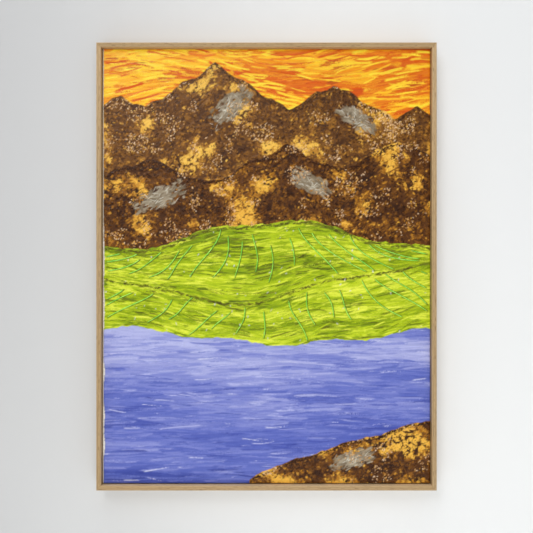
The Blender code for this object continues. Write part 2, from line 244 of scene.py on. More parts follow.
def cut_mitres(length: float, joint: float) -> None:
    """Cut both ends of the bar in edit mode at 45 degrees, each short by half the width of an open joint."""
    for end in (-1, 1):
        cut_plane((0, 0, end * (length / 2 - joint / math.sqrt(2))), (1, 0, end), drop=True)


def round_edges(piece: Piece, test: Test, width: float, segments: int) -> None:
    """Round off, in edit mode, the edges whose middle and direction pass a test."""
    pick(piece, Element.EDGE, test)
    bpy.ops.mesh.bevel(offset=width, segments=segments, affect="EDGES", clamp_overlap=True)


def pull(piece: Piece, test: Test, offset: Sequence[float]) -> None:
    """Extrude, in edit mode, the faces whose middle and normal pass a test."""
    pick(piece, Element.FACE, test)
    bpy.ops.mesh.extrude_region_move(TRANSFORM_OT_translate={"value": offset})


def shift(piece: Piece, test: Test, offset: Sequence[float]) -> None:
    """Move, in edit mode, the vertices whose place and normal pass a test."""
    pick(piece, Element.VERTEX, test)
    bpy.ops.transform.translate(value=offset)


def face_outwards() -> None:
    """Turn every face of the mesh in edit mode outwards."""
    bpy.ops.mesh.select_all(action="SELECT")
    bpy.ops.mesh.normals_make_consistent(inside=False)


def renamed(piece: Piece, name: str) -> Piece:
    """Name a piece and its mesh, and return the piece."""
    piece.name = piece.data.name = name
    return piece


def settle(piece: Piece, matrix: Matrix | None = None) -> Piece:
    """Bring a piece to its place and leave its object at the origin, unturned and unscaled.

    Args:
        piece: The piece.
        matrix: Where it goes, or None where it already is in place.

    Returns:
        The piece.
    """
    if matrix is not None:
        piece.matrix_world = matrix
    hold(piece)
    bpy.ops.object.transform_apply(location=True, rotation=True, scale=True)
    return piece


def block(name: str, low: Sequence[float], high: Sequence[float]) -> Piece:
    """Add a box between two corners.

    Args:
        name: The piece's name.
        low: Its lowest corner.
        high: Its highest corner.

    Returns:
        The box.
    """
    low, high = Vector(low), Vector(high)
    deselect()
    bpy.ops.mesh.primitive_cube_add(size=1, location=(low + high) / 2, scale=high - low)
    return settle(renamed(bpy.context.object, name))


def modify(piece: Piece, kind: str, **settings: object) -> Piece:
    """Shape a piece with a modifier, and apply it.

    Args:
        piece: The piece.
        kind: The modifier's type.
        settings: Its settings.

    Returns:
        The piece.
    """
    modifier = piece.modifiers.new(kind.lower(), kind)
    for name, value in settings.items():
        setattr(modifier, name, value)
    hold(piece)
    bpy.ops.object.modifier_apply(modifier=modifier.name)
    return piece


def carve(piece: Piece, cutters: Sequence[Piece]) -> Piece:
    """Take the shapes of cutters out of a piece, and remove the cutters.

    Args:
        piece: The piece.
        cutters: Closed shapes.

    Returns:
        The piece.
    """
    for cutter in cutters:
        modify(piece, "BOOLEAN", operation="DIFFERENCE", solver="EXACT", object=cutter)
        bpy.data.objects.remove(cutter)
    return piece


def ease_edges(piece: Piece, width: float, segments: int = 2, degrees: float = 38) -> Piece:
    """Take the sharpness off every edge of a piece and shade it smooth between them.

    Args:
        piece: The piece.
        width: Width of the rounding.
        segments: Its steps.
        degrees: Edges at least this sharp are rounded.

    Returns:
        The piece.
    """
    angle = math.radians(degrees)
    limit = {"limit_method": "ANGLE", "angle_limit": angle, "harden_normals": False}
    modify(piece, "BEVEL", width=width, segments=segments, **limit)
    bpy.ops.object.shade_smooth_by_angle(angle=angle)
    return piece


def gather(items: bpy.types.bpy_prop_collection, word: str, width: int = 1, kind: type = np.float32) -> np.ndarray:
    """Read one property of many items of a mesh.

    Args:
        items: The items.
        word: The property.
        width: How many numbers each item has.
        kind: Their type.

    Returns:
        The numbers, one item to a row.
    """
    values = np.empty(len(items) * width, dtype=kind)
    items.foreach_get(word, values)
    return values.reshape(-1, width) if width > 1 else values


def write_map(piece: Piece, name: str, u: np.ndarray, v: np.ndarray) -> None:
    """Write a piece's UV map from its two coordinates at every corner of every face."""
    layer = piece.data.uv_layers.new(name=name)
    layer.uv.foreach_set("vector", np.stack([u, v], axis=-1).astype(np.float32).ravel())


def mark_edges(piece: Piece) -> None:
    """Write a face attribute, edge, that is 1 on the rounded edges of a square-cut piece and 0 on its flats."""
    rounded = np.abs(gather(piece.data.polygons, "normal", 3)).max(axis=1) < FLAT_NORMAL
    piece.data.attributes.new("edge", "FLOAT", "FACE").data.foreach_set("value", rounded.astype(np.float32))


def copied(piece: Piece, name: str, matrix: Matrix) -> Piece:
    """Copy a piece, with its own mesh, to another place.

    Args:
        piece: The piece.
        name: The copy's name.
        matrix: Where the copy goes.

    Returns:
        The copy.
    """
    twin = piece.copy()
    twin.data = piece.data.copy()
    bpy.context.scene.collection.objects.link(twin)
    return settle(renamed(twin, name), matrix)


def joined(pieces: Sequence[Piece], name: str) -> Piece:
    """Join pieces into the first of them.

    Args:
        pieces: The pieces.
        name: The name of the whole.

    Returns:
        The whole.
    """
    hold(pieces[0])
    for piece in pieces:
        piece.select_set(True)
    bpy.ops.object.join()
    return renamed(pieces[0], name)


def hand_over(piece: Piece, slot: str, *nodes: str) -> None:
    """Fix a finished piece to the painting's one body, and report it.

    Args:
        piece: The piece.
        slot: The record's material slot that its finish stands for; it is only named in the log.
        nodes: The CAD nodes that it stands for.
    """
    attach(piece, "root")
    if nodes:
        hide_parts(*nodes)
    LOG.info("%s: %d faces, finish %s", piece.name, len(piece.data.polygons), slot)


# Finishes

NUMBER, VECTOR, COLOUR = "NodeSocketFloat", "NodeSocketVector", "NodeSocketColor"


class Bench:
    """A node tree while it is wired."""

    def __init__(self, tree: bpy.types.NodeTree) -> None:
        """Lay a material's tree or a group's on the bench."""
        self.tree = tree

    def add(self, kind: str, feeds: Feeds | None = None, **settings: object) -> Node:
        """Add a node.

        Args:
            kind: The node's type.
            feeds: What its inputs take.
            settings: The node's own settings.

        Returns:
            The node.
        """
        node = self.tree.nodes.new(kind)
        for name, value in settings.items():
            setattr(node, name, value)
        self.feed(node, feeds or {})
        return node

    def feed(self, node: Node, feeds: Feeds) -> None:
        """Feed a node's inputs.

        Args:
            node: The node.
            feeds: What each input takes: a value, or the socket that it is linked to.
        """
        for name, feed in feeds.items():
            if isinstance(feed, Socket):
                self.tree.links.new(feed, node.inputs[name])
            else:
                node.inputs[name].default_value = feed

    def math(self, operation: str, *values: Feed) -> Socket:
        """Work out a number from others, and return its socket."""
        return self.add("ShaderNodeMath", dict(enumerate(values)), operation=operation).outputs[0]

    def times(self, *values: Feed) -> Socket:
        """Multiply numbers, and return the result's socket."""
        return reduce(lambda product, value: self.math("MULTIPLY", product, value), values)

    def line(self, value: Feed, slope: Feed, base: Feed) -> Socket:
        """Multiply a number by a slope and add a base, and return the result's socket."""
        return self.math("MULTIPLY_ADD", value, slope, base)

    def vector(self, operation: str, *values: Feed) -> Sockets:
        """Work out a vector from others, and return its node's outputs."""
        return self.add("ShaderNodeVectorMath", dict(enumerate(values)), operation=operation).outputs

    def combine(self, *values: Feed) -> Socket:
        """Make a vector of up to three numbers, and return its socket."""
        return self.add("ShaderNodeCombineXYZ", dict(enumerate(values))).outputs[0]

    def parts(self, vector: Socket) -> Sockets:
        """Take a vector apart into its three numbers."""
        return self.add("ShaderNodeSeparateXYZ", {0: vector}).outputs

    def attribute(self, name: str) -> Sockets:
        """Read one of the piece's attributes, and return its node's outputs."""
        return self.add("ShaderNodeAttribute", attribute_name=name).outputs

    def noise(self, place: Socket, scale: Feed, detail: float = 2.0, rough: float = 0.5) -> Socket:
        """Add noise from 0 to 1.

        Args:
            place: Where it is read.
            scale: Its cells to a metre, as one number, or as one for each axis.
            detail: Octaves.
            rough: Strength of each finer octave.

        Returns:
            The noise's socket.
        """
        if isinstance(scale, tuple):
            place, scale = self.vector("MULTIPLY", place, scale)[0], 1.0
        feeds = {"Vector": place, "Scale": scale, "Detail": detail, "Roughness": rough}
        return self.add("ShaderNodeTexNoise", feeds).outputs[0]

    def between(self, value: Socket, low: float, high: float, start: float = 0.0, end: float = 1.0) -> Socket:
        """Ease a value that goes from low to high into one that goes from start to end, held at both ends."""
        feeds = {"Value": value, "From Min": low, "From Max": high, "To Min": start, "To Max": end}
        return self.add("ShaderNodeMapRange", feeds, interpolation_type="SMOOTHSTEP").outputs[0]

    def mix(self, share: Feed, first: Feed, second: Feed, blend: str = "MIX") -> Socket:
        """Mix a share of a second colour into a first, and return the colour's socket."""
        return self.add("ShaderNodeMix", {0: share, 6: first, 7: second}, data_type="RGBA", blend_type=blend).outputs[2]

    def relief(self, height: Socket, distance: float) -> Socket:
        """Turn a height into a bumped normal, where a height of 1 stands for a distance in metres."""
        return self.add("ShaderNodeBump", {"Height": height, "Distance": distance, "Strength": 1.0}).outputs[0]


class Effect:
    """A shader effect that several materials share: a node group that is built once and placed in each of them."""

    name = ""
    takes: dict[str, str] = {}
    gives: dict[str, str] = {}

    def wire(self, bench: Bench, given: Sockets) -> Feeds:
        """Wire the group.

        Args:
            bench: The group's bench.
            given: The group's inputs.

        Returns:
            What each output gives.
        """
        raise NotImplementedError

    def group(self) -> bpy.types.NodeTree:
        """Give the effect's node group, built the first time that it is asked for.

        Returns:
            The group.
        """
        found = bpy.data.node_groups.get(self.name)
        if found is not None:
            return found
        tree = bpy.data.node_groups.new(self.name, "ShaderNodeTree")
        for way, sockets in (("INPUT", self.takes), ("OUTPUT", self.gives)):
            for name, kind in sockets.items():
                tree.interface.new_socket(name=name, in_out=way, socket_type=kind)
        bench = Bench(tree)
        bench.add("NodeGroupOutput", self.wire(bench, bench.add("NodeGroupInput").outputs))
        return tree

    def place(self, bench: Bench, **feeds: Feed) -> Sockets:
        """Place the effect in a material, say what each input takes, and return its outputs."""
        return bench.add("ShaderNodeGroup", feeds, node_tree=self.group()).outputs


class WoodFigure(Effect):
    """The figure of sawn wood: growth rings, fibres, open pores and pale flecks, with the grain along Z."""

    name = "wood_figure"
    takes = {"Place": VECTOR, "Pale": COLOUR, "Dark": COLOUR, "Pore": COLOUR, "Openness": NUMBER, "Spacing": NUMBER}
    gives = {"Colour": COLOUR, "Height": NUMBER, "Pores": NUMBER}

    def wire(self, bench: Bench, given: Sockets) -> Feeds:
        """Wire the figure: rings round a heart that lies outside the piece, bent by slow noise along the grain.

        Args:
            bench: The group's bench.
            given: The group's inputs.

        Returns:
            What each output gives.
        """
        place, pale = given["Place"], given["Pale"]
        bend = bench.combine(bench.times(bench.noise(place, (9, 9, 1.6), 1.0), 0.020))
        bent = bench.vector("ADD", bench.vector("ADD", place, (0.062, 0.034, 0.0))[0], bend)[0]
        reach = bench.vector("LENGTH", bench.vector("MULTIPLY", bent, (1, 1, 0))[0])[1]
        ring = bench.math("FRACT", bench.math("DIVIDE", reach, bench.times(given["Spacing"], 0.0029)))
        late = bench.times(bench.between(ring, 0.30, 0.92), bench.between(ring, 1.0, 0.95))
        fibre = bench.noise(place, (2600, 2600, 70), rough=0.6)
        strand = bench.noise(place, (620, 620, 16))
        cloud = bench.noise(place, (16, 16, 2.4))
        cell = bench.noise(place, (2100, 2100, 150), 0.0)
        early = bench.between(ring, 0.55, 0.05, 0.25, 1.0)
        pores = bench.times(bench.between(cell, 0.60, 0.70), early, given["Openness"])
        fleck = bench.between(bench.noise(place, (300, 900, 45), 1.0), 0.64, 0.74)
        shade = bench.line(strand, 0.30, bench.line(late, 0.42, bench.times(cloud, 0.24)))
        shade = bench.line(fibre, 0.26, bench.math("SUBTRACT", shade, 0.17))
        colour = bench.mix(bench.times(fleck, 0.35), bench.mix(shade, pale, given["Dark"]), pale)
        colour = bench.mix(bench.times(pores, 0.72), colour, given["Pore"])
        height = bench.line(fibre, 0.30, bench.times(late, 0.16))
        height = bench.line(pores, -0.8, bench.math("ADD", height, 0.5))
        return {"Colour": colour, "Height": height, "Pores": pores}


class EdgeWear(Effect):
    """Where handling has rubbed a piece's rounded edges, broken up along them."""

    name = "edge_wear"
    takes = {"Place": VECTOR, "Edge": NUMBER, "Amount": NUMBER}
    gives = {"Mask": NUMBER}

    def wire(self, bench: Bench, given: Sockets) -> Feeds:
        """Wire the wear: the edge mask, held back by patches of noise."""
        patch = bench.between(bench.noise(given["Place"], 60, 3.0, 0.6), 0.28, 0.62, 0.25, 1.0)
        return {"Mask": bench.times(given["Edge"], patch, given["Amount"])}


class SettledDust(Effect):
    """Dust that has settled on what faces up."""

    name = "settled_dust"
    takes = {"Place": VECTOR, "Normal": VECTOR, "Amount": NUMBER}
    gives = {"Mask": NUMBER}

    def wire(self, bench: Bench, given: Sockets) -> Feeds:
        """Wire the dust: the upward part of the normal, in drifts and specks.

        Args:
            bench: The group's bench.
            given: The group's inputs.

        Returns:
            What each output gives.
        """
        drift = bench.between(bench.noise(given["Place"], 34, 3.0, 0.65), 0.3, 0.7, 0.35, 1.0)
        speck = bench.between(bench.noise(given["Place"], 1500, 0.0), 0.66, 0.72)
        lie = bench.math("ADD", drift, bench.times(speck, 0.6))
        up = bench.between(bench.parts(given["Normal"])[2], 0.45, 0.95)
        return {"Mask": bench.times(up, lie, given["Amount"])}


class PlainWeave(Effect):
    """A plain weave of cotton threads with slubs, read in metres over the cloth."""

    name = "plain_weave"
    takes = {"Place": VECTOR, "Pitch": NUMBER}
    gives = {"Height": NUMBER, "Thread": NUMBER, "Slub": NUMBER}

    def wire(self, bench: Bench, given: Sockets) -> Feeds:
        """Wire the weave: two sets of threads that pass over each other by turns.

        Args:
            bench: The group's bench.
            given: The group's inputs.

        Returns:
            What each output gives.
        """
        place = given["Place"]
        stray = bench.add("ShaderNodeTexNoise", {"Vector": place, "Scale": 160.0, "Detail": 1.0}).outputs[1]
        stray = bench.vector("SUBTRACT", stray, (0.5, 0.5, 0.5))[0]
        parts = bench.parts(bench.vector("MULTIPLY_ADD", stray, (0.0007,) * 3, place)[0])
        turns = [bench.math("DIVIDE", part, given["Pitch"]) for part in (parts[0], parts[1])]
        waves = [bench.math("SINE", bench.times(turn, math.pi)) for turn in turns]
        over = bench.math("GREATER_THAN", bench.times(*waves), 0.0)
        curves = bench.line(over, -0.65, 1.1), bench.line(over, 0.65, 0.45)
        threads = [bench.math("POWER", bench.math("ABSOLUTE", wave), curve) for wave, curve in zip(waves, curves)]
        tidy = bench.combine(*turns)
        tones = [bench.noise(tidy, way, 1.0) for way in ((0.9, 0.0036, 0), (0.0036, 0.9, 0))]
        thread = bench.add("ShaderNodeMix", {0: over, 2: tones[0], 3: tones[1]}).outputs[0]
        slub = bench.between(thread, 0.62, 0.74)
        return {"Height": bench.times(*threads, bench.line(slub, 0.5, 0.7)), "Thread": thread, "Slub": slub}


class Bristles(Effect):
    """The fine furrows that a brush's hairs leave in paint, along each stroke."""

    name = "bristles"
    takes = {"Place": VECTOR, "Way": VECTOR}
    gives = {"Height": NUMBER, "Streak": NUMBER}

    def wire(self, bench: Bench, given: Sockets) -> Feeds:
        """Wire the furrows: noise drawn out along the stroke's way, in a fine and a broader size.

        Args:
            bench: The group's bench.
            given: The group's inputs.

        Returns:
            What each output gives.
        """
        place, way = bench.parts(given["Place"]), bench.parts(given["Way"])
        along = bench.math("ADD", bench.times(place[0], way[0]), bench.times(place[2], way[1]))
        across = bench.math("SUBTRACT", bench.times(place[2], way[0]), bench.times(place[0], way[1]))
        drawn = bench.combine(along, across)
        fine, broad = bench.noise(drawn, (60, 1900, 0), 1.0), bench.noise(drawn, (28, 640, 0))
        return {"Height": bench.line(fine, 0.5, bench.times(broad, 0.5)), "Streak": broad}


class MetalWear(Effect):
    """Scratches and dull patches on a small metal fitting."""

    name = "metal_wear"
    takes = {"Place": VECTOR, "Amount": NUMBER}
    gives = {"Dull": NUMBER, "Scratch": NUMBER}

    def wire(self, bench: Bench, given: Sockets) -> Feeds:
        """Wire the wear: clouds of tarnish, and scratches in two directions.

        Args:
            bench: The group's bench.
            given: The group's inputs.

        Returns:
            What each output gives.
        """
        place = given["Place"]
        cloud = bench.between(bench.noise(place, 260, 3.0, 0.65), 0.35, 0.75)
        lines = [bench.noise(place, way, 0.0) for way in ((5200, 900, 260), (300, 900, 4700))]
        scratch = bench.math("MAXIMUM", *[bench.between(line, 0.66, 0.72) for line in lines])
        return {"Dull": bench.times(cloud, given["Amount"]), "Scratch": scratch}


@dataclass(frozen=True)
class Finish:
    """A finish: what a material's name is, and how it is wired."""

    name: str

    def material(self) -> bpy.types.Material:
        """Give the finish's material, made the first time that it is asked for.

        Returns:
            The material.
        """
        found = bpy.data.materials.get(self.name)
        if found is not None:
            return found
        made = bpy.data.materials.new(self.name)
        made.use_nodes = True
        bench = Bench(made.node_tree)
        feeds = self.wire(bench, bench.add("ShaderNodeTexCoord").outputs["Object"])
        bench.feed(made.node_tree.nodes["Principled BSDF"], feeds)
        return made

    def wire(self, bench: Bench, place: Socket) -> Feeds:
        """Wire the material.

        Args:
            bench: The material's bench.
            place: The piece's own coordinates.

        Returns:
            What each input of its Principled BSDF takes.
        """
        raise NotImplementedError

    def dress(self, piece: Piece) -> Piece:
        """Give a piece this finish alone.

        Args:
            piece: The piece.

        Returns:
            The piece.
        """
        piece.data.materials.clear()
        piece.data.materials.append(self.material())
        return piece


@dataclass(frozen=True)
class Wood(Finish):
    """Sawn and sanded wood, bare or thinly oiled. What is moved is the figure, so that no two pieces are alike."""

    pale: Colour
    dark: Colour
    pore: Colour
    grain: Grain = Grain.UPRIGHT
    moved: float = 0.0
    openness: float = 1.0
    spacing: float = 1.0
    roughness: float = 0.5
    wear: float = 0.4
    dust: float = 0.12

    def wire(self, bench: Bench, place: Socket) -> Feeds:
        """Wire the wood: its figure, paler rubbed edges and a little dust on what faces up.

        Args:
            bench: The material's bench.
            place: The piece's own coordinates.

        Returns:
            What each input of its Principled BSDF takes.
        """
        turned = {"Rotation": (0, self.grain.value, 0), "Location": (self.moved, self.moved * 0.37, self.moved * 1.7)}
        mapped = bench.add("ShaderNodeMapping", {"Vector": place, **turned}).outputs[0]
        colours = {"Pale": opaque(*self.pale), "Dark": opaque(*self.dark), "Pore": opaque(*self.pore)}
        figure = WoodFigure().place(bench, Place=mapped, Openness=self.openness, Spacing=self.spacing, **colours)
        worn = EdgeWear().place(bench, Place=place, Edge=bench.attribute("edge")["Fac"], Amount=self.wear)[0]
        normal = bench.add("ShaderNodeNewGeometry").outputs["Normal"]
        dust = SettledDust().place(bench, Place=place, Normal=normal, Amount=self.dust)[0]
        rubbed = opaque(*(min(255, round(channel * 1.07)) for channel in self.pale))
        rough = bench.line(worn, -0.12, bench.line(figure["Pores"], 0.25, self.roughness))
        return {
            "Base Color": bench.mix(dust, bench.mix(worn, figure["Colour"], rubbed), opaque(205, 202, 196)),
            "Roughness": bench.line(dust, 0.4, rough),
            "Normal": bench.relief(figure["Height"], 0.00009),
            "Specular IOR Level": 0.4,
        }


@dataclass(frozen=True)
class Cloth(Finish):
    """Cotton canvas, primed or raw, whose weave follows the piece's own map in metres."""

    colour: Colour
    shade: Colour
    pitch: float = 0.00075
    filled: float = 0.0
    roughness: float = 0.85

    def wire(self, bench: Bench, place: Socket) -> Feeds:
        """Wire the cloth: painted shade in the valleys between the threads, slubs, specks of seed and soft stains.

        Args:
            bench: The material's bench.
            place: The piece's own coordinates.

        Returns:
            What each input of its Principled BSDF takes.
        """
        open_share, shade = 1 - self.filled, opaque(*self.shade)
        mapped = bench.add("ShaderNodeUVMap", uv_map="cloth").outputs[0]
        weave = PlainWeave().place(bench, Place=mapped, Pitch=self.pitch)
        # Painted shade: the shade colour darkens the weave's low valleys, less where primer fills them.
        valley_shade = bench.between(weave["Height"], 0.75, 0.05, 0.0, 1 - 0.75 * self.filled)
        stain = bench.between(bench.noise(place, 9.0, 3.0), 0.40, 0.72)
        seed = bench.between(bench.noise(place, 900, 0.0), 0.735, 0.765)
        colour = opaque(*self.colour)
        # The shade colour goes in three times: as painted shade in the valleys, as the threads' own tones, and as soft
        # stains.
        for share in (valley_shade, bench.times(weave["Thread"], 0.30 * open_share), bench.times(stain, 0.10)):
            colour = bench.mix(share, colour, shade)
        return {
            "Base Color": bench.mix(bench.times(seed, 0.55 * open_share), colour, opaque(112, 92, 66)),
            "Roughness": bench.between(stain, 0, 1, self.roughness, self.roughness + 0.08),
            "Normal": bench.relief(bench.times(weave["Height"], 1 - 0.55 * self.filled), 0.00016),
            "Specular IOR Level": 0.3,
            "Sheen Weight": 0.15 * open_share,
            "Sheen Roughness": 0.6,
        }


@dataclass(frozen=True)
class Acrylic(Finish):
    """Acrylic paint: the strokes' own colours, furrowed by the brush, with the weave showing where it is thin."""

    roughness: float = 0.35
    furrows: float = 0.00010

    def wire(self, bench: Bench, place: Socket) -> Feeds:
        """Wire the paint from the attributes paint and way, whose third part is how thick it lies.

        Args:
            bench: The material's bench.
            place: The piece's own coordinates.

        Returns:
            What each input of its Principled BSDF takes.
        """
        paint, way, flat = bench.attribute("paint")["Color"], bench.attribute("way")["Vector"], bench.parts(place)
        thick = bench.parts(way)[2]
        brushed = Bristles().place(bench, Place=place, Way=way)
        weave = PlainWeave().place(bench, Place=bench.combine(flat[0], flat[2]), Pitch=0.0011)["Height"]
        thin = bench.between(thick, 0.95, 0.15, 0.10, 0.75)
        # Where the paint is thin its colour is lighter on the weave's threads and darker in its valleys, and along each
        # stroke it is lighter where the brush streaks stand high. This is painted shade of the relief, as well as the
        # streaks' own tone.
        cloth = bench.line(bench.math("SUBTRACT", weave, 0.45), bench.times(thin, 0.30), 1.0)
        shade = bench.times(bench.between(brushed["Streak"], 0.30, 0.70, 0.90, 1.10), cloth)
        height = bench.times(brushed["Height"], bench.between(thick, 0.05, 0.5, 0.25, 1.0))
        height = bench.line(bench.times(weave, thin), 0.9, height)
        rough = bench.line(bench.noise(place, 45, 3.0), 0.22, self.roughness - 0.11)
        return {
            "Base Color": bench.mix(1.0, paint, bench.combine(shade, shade, shade), "MULTIPLY"),
            "Roughness": bench.line(thin, 0.25, bench.line(thick, -0.10, rough)),
            "Normal": bench.relief(height, self.furrows),
            "Specular IOR Level": 0.27,
        }


@dataclass(frozen=True)
class PaintLine(Finish):
    """A line of acrylic squeezed on from a nozzle: glossy, with its colour only half mixed."""

    light: Colour
    deep: Colour

    def wire(self, bench: Bench, place: Socket) -> Feeds:
        """Wire the line: two greens in short streaks, and small lumps.

        Args:
            bench: The material's bench.
            place: The piece's own coordinates.

        Returns:
            What each input of its Principled BSDF takes.
        """
        streak = bench.noise(place, (130, 2600, 130))
        return {
            "Base Color": bench.mix(bench.between(streak, 0.35, 0.65), opaque(*self.light), opaque(*self.deep)),
            "Roughness": bench.between(streak, 0.3, 0.7, 0.20, 0.34),
            "Normal": bench.relief(bench.noise(place, 700), 0.00008),
            "Coat Weight": 0.25,
            "Coat Roughness": 0.15,
        }


@dataclass(frozen=True)
class Plated(Finish):
    """A plated steel fitting, scratched and a little tarnished."""

    colour: Colour
    dull: Colour
    roughness: float = 0.3
    wear: float = 0.5

    def wire(self, bench: Bench, place: Socket) -> Feeds:
        """Wire the plating: dull clouds over the bright metal, and fine scratches.

        Args:
            bench: The material's bench.
            place: The piece's own coordinates.

        Returns:
            What each input of its Principled BSDF takes.
        """
        wear = MetalWear().place(bench, Place=place, Amount=self.wear)
        colour = bench.mix(wear["Dull"], opaque(*self.colour), opaque(*self.dull))
        rough = bench.line(wear["Dull"], 0.3, self.roughness)
        return {
            "Base Color": bench.mix(bench.times(wear["Scratch"], 0.25), colour, opaque(236, 236, 232)),
            "Roughness": bench.line(wear["Scratch"], 0.12, rough),
            "Normal": bench.relief(bench.math("SUBTRACT", 1.0, wear["Scratch"]), 0.00001),
            "Metallic": 1.0,
        }


@dataclass(frozen=True)
class SoftRubber(Finish):
    """Milky soft plastic of a stick-on bumper, with lint on its face."""

    colour: Colour

    def wire(self, bench: Bench, place: Socket) -> Feeds:
        """Wire the rubber: a smooth milky face with specks of lint and a faint orange-peel.

        Args:
            bench: The material's bench.
            place: The piece's own coordinates.

        Returns:
            What each input of its Principled BSDF takes.
        """
        lint = bench.between(bench.noise(place, 1600, 0.0), 0.70, 0.76)
        cloud = bench.noise(place, 240)
        colour = bench.mix(cloud, opaque(*self.colour), opaque(*(round(channel * 0.90) for channel in self.colour)))
        return {
            "Base Color": bench.mix(bench.times(lint, 0.5), colour, opaque(120, 116, 108)),
            "Roughness": bench.between(cloud, 0.3, 0.7, 0.28, 0.44),
            "Normal": bench.relief(cloud, 0.00003),
            "Subsurface Weight": 0.15,
            "Subsurface Scale": 0.002,
        }


@dataclass(frozen=True)
class ShadedWallPaint(Finish):
    """Matt wall paint with painted shade, darker towards the left and towards the top in place of the fall of light,
    that shows only from the front.
    """

    left: Colour
    right: Colour

    def wire(self, bench: Bench, place: Socket) -> Feeds:
        """Wire the wall: painted shade that darkens it slowly towards the left and towards the top, and nothing at all
        from behind.

        Args:
            bench: The material's bench.
            place: The piece's own coordinates.

        Returns:
            What each input of its Principled BSDF takes.
        """
        nodes, parts = bench.tree.nodes, bench.parts(place)
        shader = nodes["Principled BSDF"].outputs[0]
        # Painted shade: darker towards the left.
        colour = bench.mix(bench.between(parts[0], -0.50, 0.16), opaque(*self.left), opaque(*self.right))
        behind = bench.add("ShaderNodeNewGeometry").outputs["Backfacing"]
        clear = bench.add("ShaderNodeBsdfTransparent").outputs[0]
        shown = bench.add("ShaderNodeMixShader", {0: behind, 1: shader, 2: clear}).outputs[0]
        bench.feed(nodes["Material Output"], {"Surface": shown})
        return {
            # Painted shade: darker towards the top.
            "Base Color": bench.mix(bench.between(parts[2], -0.68, 0.10), colour, (0.92, 0.92, 0.926, 1), "MULTIPLY"),
            "Roughness": 0.9,
            "Specular IOR Level": 0.1,
        }


OAK = ((189, 161, 120), (150, 120, 81), (106, 80, 50))
PINE = ((232, 206, 164), (206, 164, 112), (188, 146, 98))
HARDWOOD = ((214, 188, 148), (190, 156, 112), (150, 118, 80))
WEDGE_WOOD = Wood("wedge_wood", *HARDWOOD, moved=0.8, openness=0.5, roughness=0.66)
PRIMED_CLOTH = Cloth("primed_cloth", (238, 235, 228), (214, 209, 200), filled=0.7, roughness=0.74)
RAW_CLOTH = Cloth("raw_cloth", (230, 221, 201), (190, 176, 148))
GREEN_LINE = PaintLine("green_paint_line", (178, 242, 98), (112, 208, 62))
STEEL = Plated("zinc_steel", (196, 198, 202), (140, 142, 144))
BRASS = Plated("brassed_steel", (206, 176, 108), (150, 124, 76), roughness=0.28, wear=0.65)
BUMPER = SoftRubber("bumper_rubber", (214, 214, 208))


def oak(side: Side, moved: float) -> Wood:
    """Give the light oak of one rail, with its figure moved."""
    return Wood(f"oak_{side.label}", *OAK, side.grain, moved)


def pine(side: Side, moved: float) -> Wood:
    """Give the pine of one stretcher bar, with its figure moved."""
    return Wood(f"pine_{side.label}", *PINE, side.grain, moved, openness=0.25, spacing=1.6, roughness=0.62)


# The painting

# The painted grid, measured over the surface: it goes a little way round the canvas's sides
PAINTED_WIDTH = 0.465
PAINTED_HEIGHT = 0.615
CELL = 0.001
CANVAS_BEND = 0.001


class Ramp:
    """A row of mixed paints, from one end of the palette knife to the other."""

    def __init__(self, *steps: Colour) -> None:
        """Mix the row from its paints in order."""
        self.paints = np.array([seen(*step) for step in steps])

    def at(self, where: float) -> np.ndarray:
        """Give the paint at a place along the row.

        Args:
            where: 0 for the first paint and 1 for the last.

        Returns:
            Its linear colour.
        """
        place = min(max(where, 0.0), 1.0) * (len(self.paints) - 1)
        low = min(int(place), len(self.paints) - 2)
        return self.paints[low] * (1 - place + low) + self.paints[low + 1] * (place - low)

    def spread(self, where: np.ndarray) -> np.ndarray:
        """Give the paints for a whole array of places along the row, with one more axis than the places have."""
        stops = np.linspace(0, 1, len(self.paints))
        return np.stack([np.interp(where, stops, channel) for channel in self.paints.T], axis=-1)


PRIMER = np.array(seen(238, 235, 228))
WATER = Ramp((50, 62, 146), (70, 84, 172), (92, 106, 190), (120, 130, 204), (148, 154, 214), (184, 188, 232))
FOAM = Ramp((176, 180, 228), (226, 228, 246))
FLAME = Ramp((212, 86, 16), (232, 126, 20), (246, 162, 30), (253, 194, 38), (255, 224, 60))
EMBER = Ramp((146, 44, 16), (186, 66, 16), (214, 92, 22))
EARTH = Ramp((42, 18, 4), (66, 34, 8), (94, 54, 16), (122, 76, 22), (158, 102, 28), (210, 146, 44), (240, 184, 72))
FAR_EARTH = Ramp(
    (60, 32, 12), (88, 52, 18), (114, 72, 26), (140, 92, 34), (176, 120, 42), (218, 160, 56), (242, 192, 84)
)
STONE = Ramp((106, 92, 72), (130, 116, 94), (154, 140, 118), (180, 168, 146))
CHALK = Ramp((200, 194, 176), (228, 224, 210))
# Pale specks of the brown fields: partly stipple, partly painted glints of light on wet paint
SPECKS_AND_GLINTS = Ramp((196, 146, 92), (246, 218, 186))
LEAF = Ramp((96, 122, 6), (132, 158, 10), (166, 190, 18), (198, 216, 34), (232, 240, 78))
OLIVE = Ramp((60, 58, 16), (92, 92, 22), (122, 130, 26))


